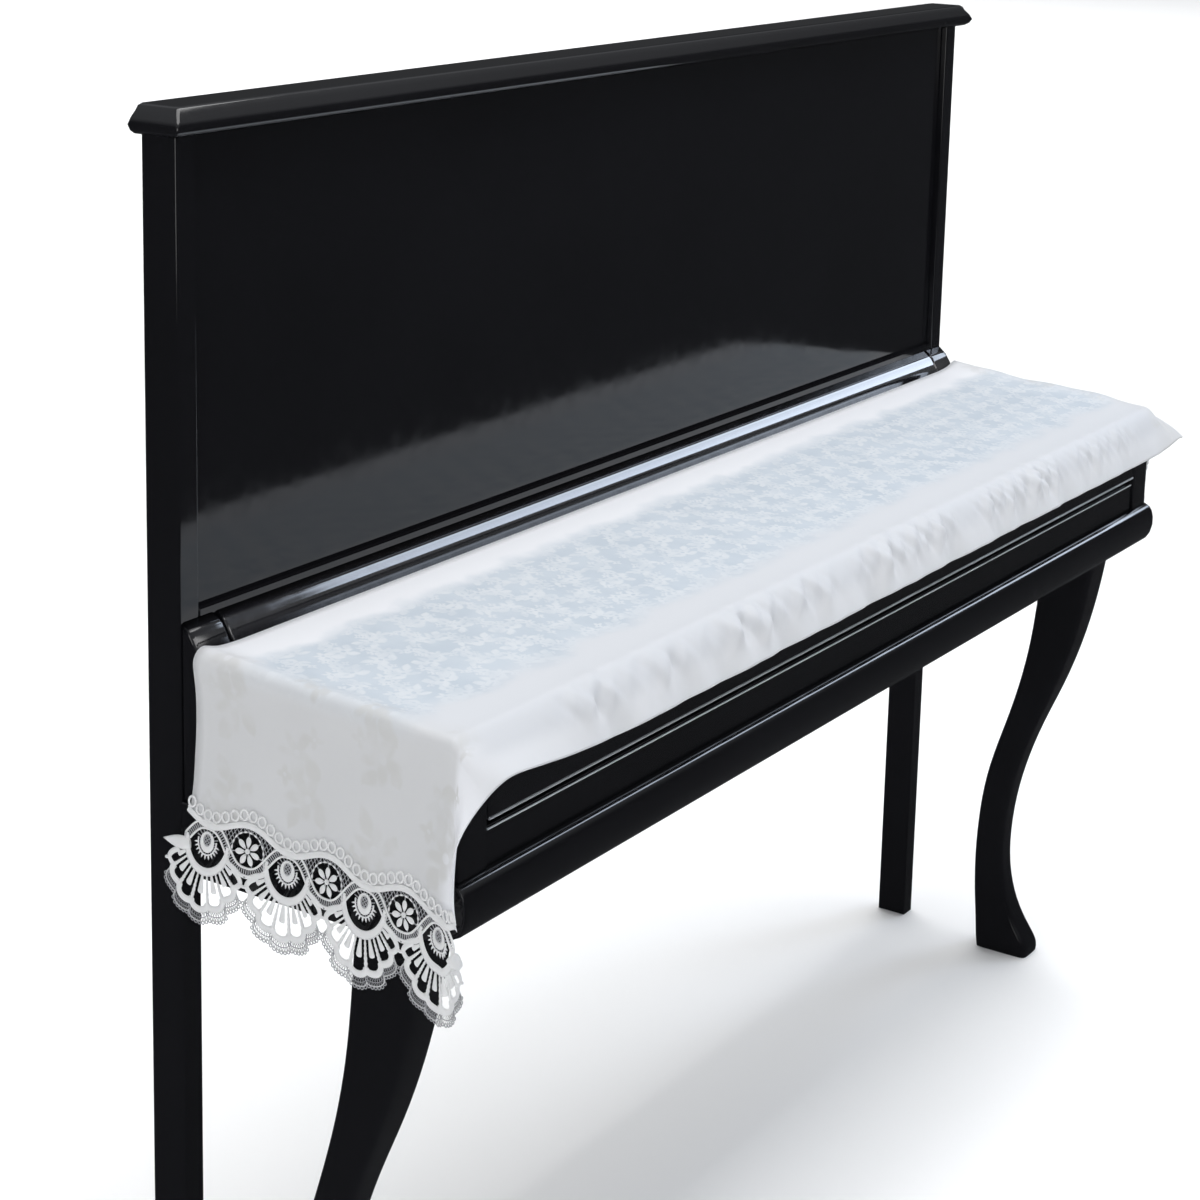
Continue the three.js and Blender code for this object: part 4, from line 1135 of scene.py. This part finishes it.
def white_jacquard():
    """Satin with a flowered blue-grey field, plain borders and faint large flowers on the hanging ends, with
    painted light and shade on its borders and hanging parts.
    """
    finish = Finish("white_jacquard_satin")
    tones = CLOTH_TONES
    place = finish.nodes.new("ShaderNodeUVMap")
    place.uv_map = "flat"
    flat = place.outputs["UV"]
    parts = finish.nodes.new("ShaderNodeSeparateXYZ")
    finish.links.new(flat, parts.inputs["Vector"])
    u, v = parts.outputs["X"], parts.outputs["Y"]
    noises = {name: finish.noise(flat, scale, detail) for name, (scale, detail) in CLOTH_NOISE.items()}

    drift = finish.math("MULTIPLY", finish.math("SUBTRACT", noises["cloud"], 0.5), FIELD_DRIFT)
    loose_v = finish.math("ADD", v, drift)
    back = finish.ease(loose_v, FIELD_BACK - FIELD_SOFT["back"], FIELD_BACK + FIELD_SOFT["back"])
    front = finish.ease(loose_v, FIELD_FRONT + FIELD_SOFT["front"], FIELD_FRONT - FIELD_SOFT["front"])
    from_middle = finish.math("ABSOLUTE", u)
    end_out = FIELD_HALF_LENGTH + FIELD_SOFT["end_out"]
    ends = finish.ease(from_middle, end_out, FIELD_HALF_LENGTH - FIELD_SOFT["end_in"])
    field = finish.math("MULTIPLY", finish.math("MULTIPLY", back, front), ends)
    past_end = finish.ease(from_middle, *HANG_END)

    sway = finish.math("SUBTRACT", noises["sway"], 0.5)
    sway_u, sway_v = SPRAY_SWAY
    woven_u = finish.math("MULTIPLY_ADD", sway, sway_u, u)
    woven_v = finish.math("MULTIPLY_ADD", sway, sway_v, v)
    x, y = repeat_cell(finish, woven_u, woven_v, *NEAR_SPRAY["cell"])
    near = spray(finish, x, y, NEAR_SPRAY["size"])
    shift_u, shift_v = NEXT_SPRAY["shift"]
    next_u = finish.math("ADD", woven_u, shift_u)
    next_v = finish.math("ADD", woven_v, shift_v)
    x, y = repeat_cell(finish, next_u, next_v, *NEXT_SPRAY["cell"])
    next_one = finish.math("MULTIPLY", spray(finish, y, x, NEXT_SPRAY["size"]), NEXT_SPRAY["strength"])
    small_field = finish.math("MULTIPLY", finish.math("MAXIMUM", near, next_one), field)
    x, y = repeat_cell(finish, woven_u, woven_v, *LARGE_SPRAY["cell"])
    large_border = finish.math("MULTIPLY", spray(finish, x, y, LARGE_SPRAY["size"]), past_end)

    # Painted light and shade by zone: lit back edge, shaded lip, front and hanging ends, lit left wing and
    # front hem.
    shelf = finish.blend(finish.ease(v, FIELD_BACK, FIELD_FRONT), tones["back"], tones["lip"])
    front_fall = finish.blend(finish.ease(v, *HANG_FRONT), shelf, tones["front"])
    draped = finish.blend(finish.ease(v, *HEM_ACROSS), front_fall, tones["hem"])
    hung = finish.blend(past_end, draped, tones["end"])
    past_left = finish.ease(u, -HANG_END[0], -HANG_END[1])
    wing = finish.math("MULTIPLY", past_left, finish.ease(v, *WING_ACROSS))
    border = finish.blend(wing, hung, tones["wing"])
    woven = finish.blend(finish.ease(noises["cloud"], *CLOUD_EDGE), tones["field"], tones["field_pale"])
    ground = finish.blend(field, border, woven)
    patchy = finish.ease(noises["patches"], *PATCH_EDGE, *PATCH_SHARE)
    flowered = finish.blend(finish.math("MULTIPLY", small_field, patchy), ground, tones["flower"])
    worn = finish.ease(noises["worn"], *PATCH_EDGE, *WORN_SHARE)
    toned = finish.blend(finish.math("MULTIPLY", large_border, worn), flowered, tones["large_flower"])
    motif = finish.math("ADD", small_field, large_border)
    finish.set(Base_Color=toned, Roughness=finish.ease(motif, 0.0, 1.0, *SATIN_ROUGHNESS))

    warp = finish.nodes.new("ShaderNodeTexWave")
    warp.bands_direction = "DIAGONAL"
    warp.inputs["Scale"].default_value = WARP["scale"]
    finish.links.new(flat, warp.inputs["Vector"])
    weave = finish.math("ADD", finish.math("MULTIPLY", warp.outputs["Fac"], WARP["strength"]), noises["slub"])
    finish.bump(finish.math("ADD", finish.math("MULTIPLY", weave, WEAVE_SHARE), motif), **WEAVE_BUMP)
    finish.set(Sheen_Weight=0.25, Sheen_Roughness=0.45, Specular_IOR_Level=0.35)
    return finish.material


# Lace cotton: its uneven white, and painted shade on the fine threads, which show greyer. Widths are in
# metres.
LACE_TONES = {"dull": (0.77, 0.775, 0.78, 1), "bright": (0.84, 0.84, 0.84, 1), "fine": (0.33, 0.335, 0.35, 1)}
LACE_NOISE = {"fibre": (900.0, 3.0), "patch": (60.0, 2.0)}
FINE_HALF = (0.00045, 0.00085)
FIBRE_EDGE = (0.2, 0.8)
COTTON_ROUGHNESS = (0.7, 0.92)
FIBRE_BUMP = {"strength": 0.5, "distance": 0.0004}


def white_lace():
    finish = Finish("white_lace_cotton")
    place = finish.object_place()
    fibre = finish.noise(place, *LACE_NOISE["fibre"])
    patch = finish.noise(place, *LACE_NOISE["patch"])
    tint = finish.blend(patch, LACE_TONES["dull"], LACE_TONES["bright"])
    solid = finish.ease(finish.attribute("half_width"), *FINE_HALF)
    # Painted shade: the fine threads are coloured dark grey for the shade among them.
    shaded = finish.blend(solid, LACE_TONES["fine"], tint)
    finish.set(Base_Color=shaded, Roughness=finish.ease(fibre, *FIBRE_EDGE, *COTTON_ROUGHNESS))
    finish.bump(fibre, **FIBRE_BUMP)
    finish.set(Sheen_Weight=0.2, Sheen_Roughness=0.5, Specular_IOR_Level=0.3)
    return finish.material


# Lacquer: deep and hazy black, a pale blue-white painted highlight along the beads, and a slow wave in its
# polish.
LACQUER_TONES = {"deep": (0.004, 0.004, 0.005, 1), "hazy": (0.009, 0.009, 0.011, 1)}
PAINTED_HIGHLIGHT_TONES = {"dull": (0.62, 0.65, 0.7, 1), "bright": (0.82, 0.85, 0.9, 1)}
LACQUER_NOISE = {"haze": (3.0, 4.0), "polish": (55.0, 3.0), "wave": (9.0, 2.0)}
POLISH_EDGE = (0.3, 0.8)
LACQUER_ROUGHNESS = (0.07, 0.13)
WAVE_BUMP = {"strength": 0.02, "distance": 0.002}


def black_lacquer():
    finish = Finish("black_lacquer_gloss")
    place = finish.object_place()
    haze, polish, wave = (finish.noise(place, *LACQUER_NOISE[name]) for name in ("haze", "polish", "wave"))
    tint = finish.blend(haze, LACQUER_TONES["deep"], LACQUER_TONES["hazy"])
    painted_highlight_colour = finish.blend(polish, PAINTED_HIGHLIGHT_TONES["dull"], PAINTED_HIGHLIGHT_TONES["bright"])
    # Painted highlight: the marked beads are coloured pale blue-white for the gleam along the seam.
    finish.set(Base_Color=finish.blend(finish.attribute("painted_highlight"), tint, painted_highlight_colour))
    finish.set(Roughness=finish.ease(polish, *POLISH_EDGE, *LACQUER_ROUGHNESS))
    finish.bump(wave, **WAVE_BUMP)
    finish.set(Specular_IOR_Level=0.5)
    return finish.material


FLOOR_TONES = {"dull": (0.88, 0.88, 0.88, 1), "bright": (0.91, 0.91, 0.91, 1)}
FLOOR_NOISE = (1.5, 3.0)


def pale_floor():
    finish = Finish("pale_floor")
    grain = finish.noise(finish.object_place(), *FLOOR_NOISE)
    finish.set(Base_Color=finish.blend(grain, FLOOR_TONES["dull"], FLOOR_TONES["bright"]), Roughness=0.9)
    return finish.material


# Studio

# Camera that sees the case as the photograph does: millimetres for its place, pixels for its picture.
CAMERA_PLACE = np.array([-2390.3, -1517.5, 1554.8])
CAMERA_RIGHT = np.array([0.554, -0.832, 0.023])
CAMERA_LOOK = np.array([0.818, 0.539, -0.202])
FOCAL_PIXELS = 2611.5
FRAME_PIXELS = 1200
AXIS_PIXEL_Y = 319.5
SENSOR_MM = 36.0
CLIP_END = 200
FLOOR_REACH = 60.0
# Air of the studio: how high a way points, and how strong the light from there is.
AIR_COLOUR = (0.93, 0.96, 1.0, 1)
AIR_RANGE = {"From Min": 0.3, "From Max": 0.65, "To Min": 0.05, "To Max": 0.5}
WHITE = (1, 1, 1)
SKY_BLUE = (0.74, 0.84, 1.0)
# Soft lights, in metres and watts. Columns: place, way it faces, size, power, colour, turn about that way.
LIGHTS = {
    "window_light": [(3.0, -0.945, 2.72), (-1, 0, 0), (0.72, 2.3), 35, SKY_BLUE, 0.38],
    "strip_gleam": [(3.03, -0.945, 2.72), (-1, 0, 0), (1.5, 2.3), 104, SKY_BLUE, 0.38],
    "ceiling_light": [(0.0, -0.3, 3.2), (0, 0, -1), (3.0, 1.3), 50, WHITE, 0.0],
    "left_light": [(-3.2, -1.15, 1.5), (0.93, 0.3, -0.2), (2.0, 1.6), 22, WHITE, 0.0],
    "backdrop_light": [(9.0, 6.5, 8.0), (0, 0, -1), (14.0, 14.0), 1500, WHITE, 0.0],
}


def set_camera():
    data = bpy.data.cameras.new("photo_camera")
    data.sensor_width = SENSOR_MM
    data.sensor_fit = "HORIZONTAL"
    data.lens = FOCAL_PIXELS / FRAME_PIXELS * SENSOR_MM
    data.shift_y = -(FRAME_PIXELS / 2 - AXIS_PIXEL_Y) / FRAME_PIXELS
    data.clip_end = CLIP_END
    camera = add_object("photo_camera", data)
    back = Vector(-CAMERA_LOOK).normalized()
    right = Vector(CAMERA_RIGHT)
    right = (right - back * right.dot(back)).normalized()
    up = back.cross(right)
    turned = Matrix((right, up, back)).transposed().to_4x4()
    turned.translation = Vector(to_frame(CAMERA_PLACE))
    camera.matrix_world = turned
    bpy.context.scene.camera = camera


def soft_light(name, place, way, size, power, colour, roll):
    data = bpy.data.lights.new(name, "AREA")
    data.shape = "RECTANGLE"
    data.size, data.size_y = size
    data.energy = power
    data.color = colour
    light = add_object(name, data)
    light.location = place
    turn = Vector(way).to_track_quat("-Z", "Y") @ Quaternion((0, 0, 1), roll)
    light.rotation_euler = turn.to_euler()
    return light


def link_light(light, receivers, state):
    """The light falls on these objects alone (INCLUDE) or on all but these (EXCLUDE)."""
    linked = bpy.data.collections.new(f"{light.name}_receivers")
    for receiver in receivers:
        linked.objects.link(receiver)
    for member in linked.collection_objects:
        member.light_linking.link_state = state
    light.light_linking.receiver_collection = linked


def studio_air():
    """Even pale light from above the floor, dark below it, so that the lacquer mirrors a dark room."""
    world = bpy.data.worlds.new("studio")
    world.use_nodes = True
    nodes, links = world.node_tree.nodes, world.node_tree.links
    way = nodes.new("ShaderNodeSeparateXYZ")
    links.new(nodes.new("ShaderNodeTexCoord").outputs["Generated"], way.inputs["Vector"])
    height = nodes.new("ShaderNodeMapRange")
    links.new(way.outputs["Z"], height.inputs["Value"])
    for name, value in AIR_RANGE.items():
        height.inputs[name].default_value = value
    background = nodes["Background"]
    background.inputs["Color"].default_value = AIR_COLOUR
    links.new(height.outputs["Result"], background.inputs["Strength"])
    return world


def set_studio():
    """Floor, air and lights. The gleam only shows in gloss, and the backdrop light only reaches the floor."""
    mesh = bpy.data.meshes.new("floor")
    corners = [(x * FLOOR_REACH, y * FLOOR_REACH, 0) for x, y in ((-1, -1), (1, -1), (1, 1), (-1, 1))]
    mesh.from_pydata(corners, [], [(0, 1, 2, 3)])
    mesh.materials.append(pale_floor())
    floor = add_object("floor", mesh)
    floor.visible_glossy = False
    bpy.context.scene.world = studio_air()
    lights = {name: soft_light(name, *row) for name, row in LIGHTS.items()}
    lights["strip_gleam"].visible_diffuse = False
    link_light(lights["backdrop_light"], [floor], "INCLUDE")
    bpy.context.scene.view_settings.view_transform = "Standard"
    return lights


set_camera()
lights = set_studio()
jacquard = white_jacquard()
lace_cotton = white_lace()
lacquer = black_lacquer()

sheet = cover_cloth(jacquard)
tree = thread_tree(lace_cotton)
laces = {end: lace_trim(end, tree, lace_cotton) for end in SIDE}
boards = {}
for node_name in CASE_NODES + LEG_NODES:
    make = curved_leg if node_name in LEG_NODES else polished
    board = make(node_name, lacquer)
    boards[node_name] = board
    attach(board, "root")
    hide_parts(node_name)
# The window leaves the rim of the top dark, and the strip behind the cloth has a broad gleam of its own.
link_light(lights["window_light"], [boards["top_lid"], boards["key_lid"]], "EXCLUDE")
link_light(lights["strip_gleam"], [boards["key_lid"]], "INCLUDE")

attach(sheet, "root")
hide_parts("cover_cloth")
for end, lace in laces.items():
    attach(lace, "root")
    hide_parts(f"lace_{end}")
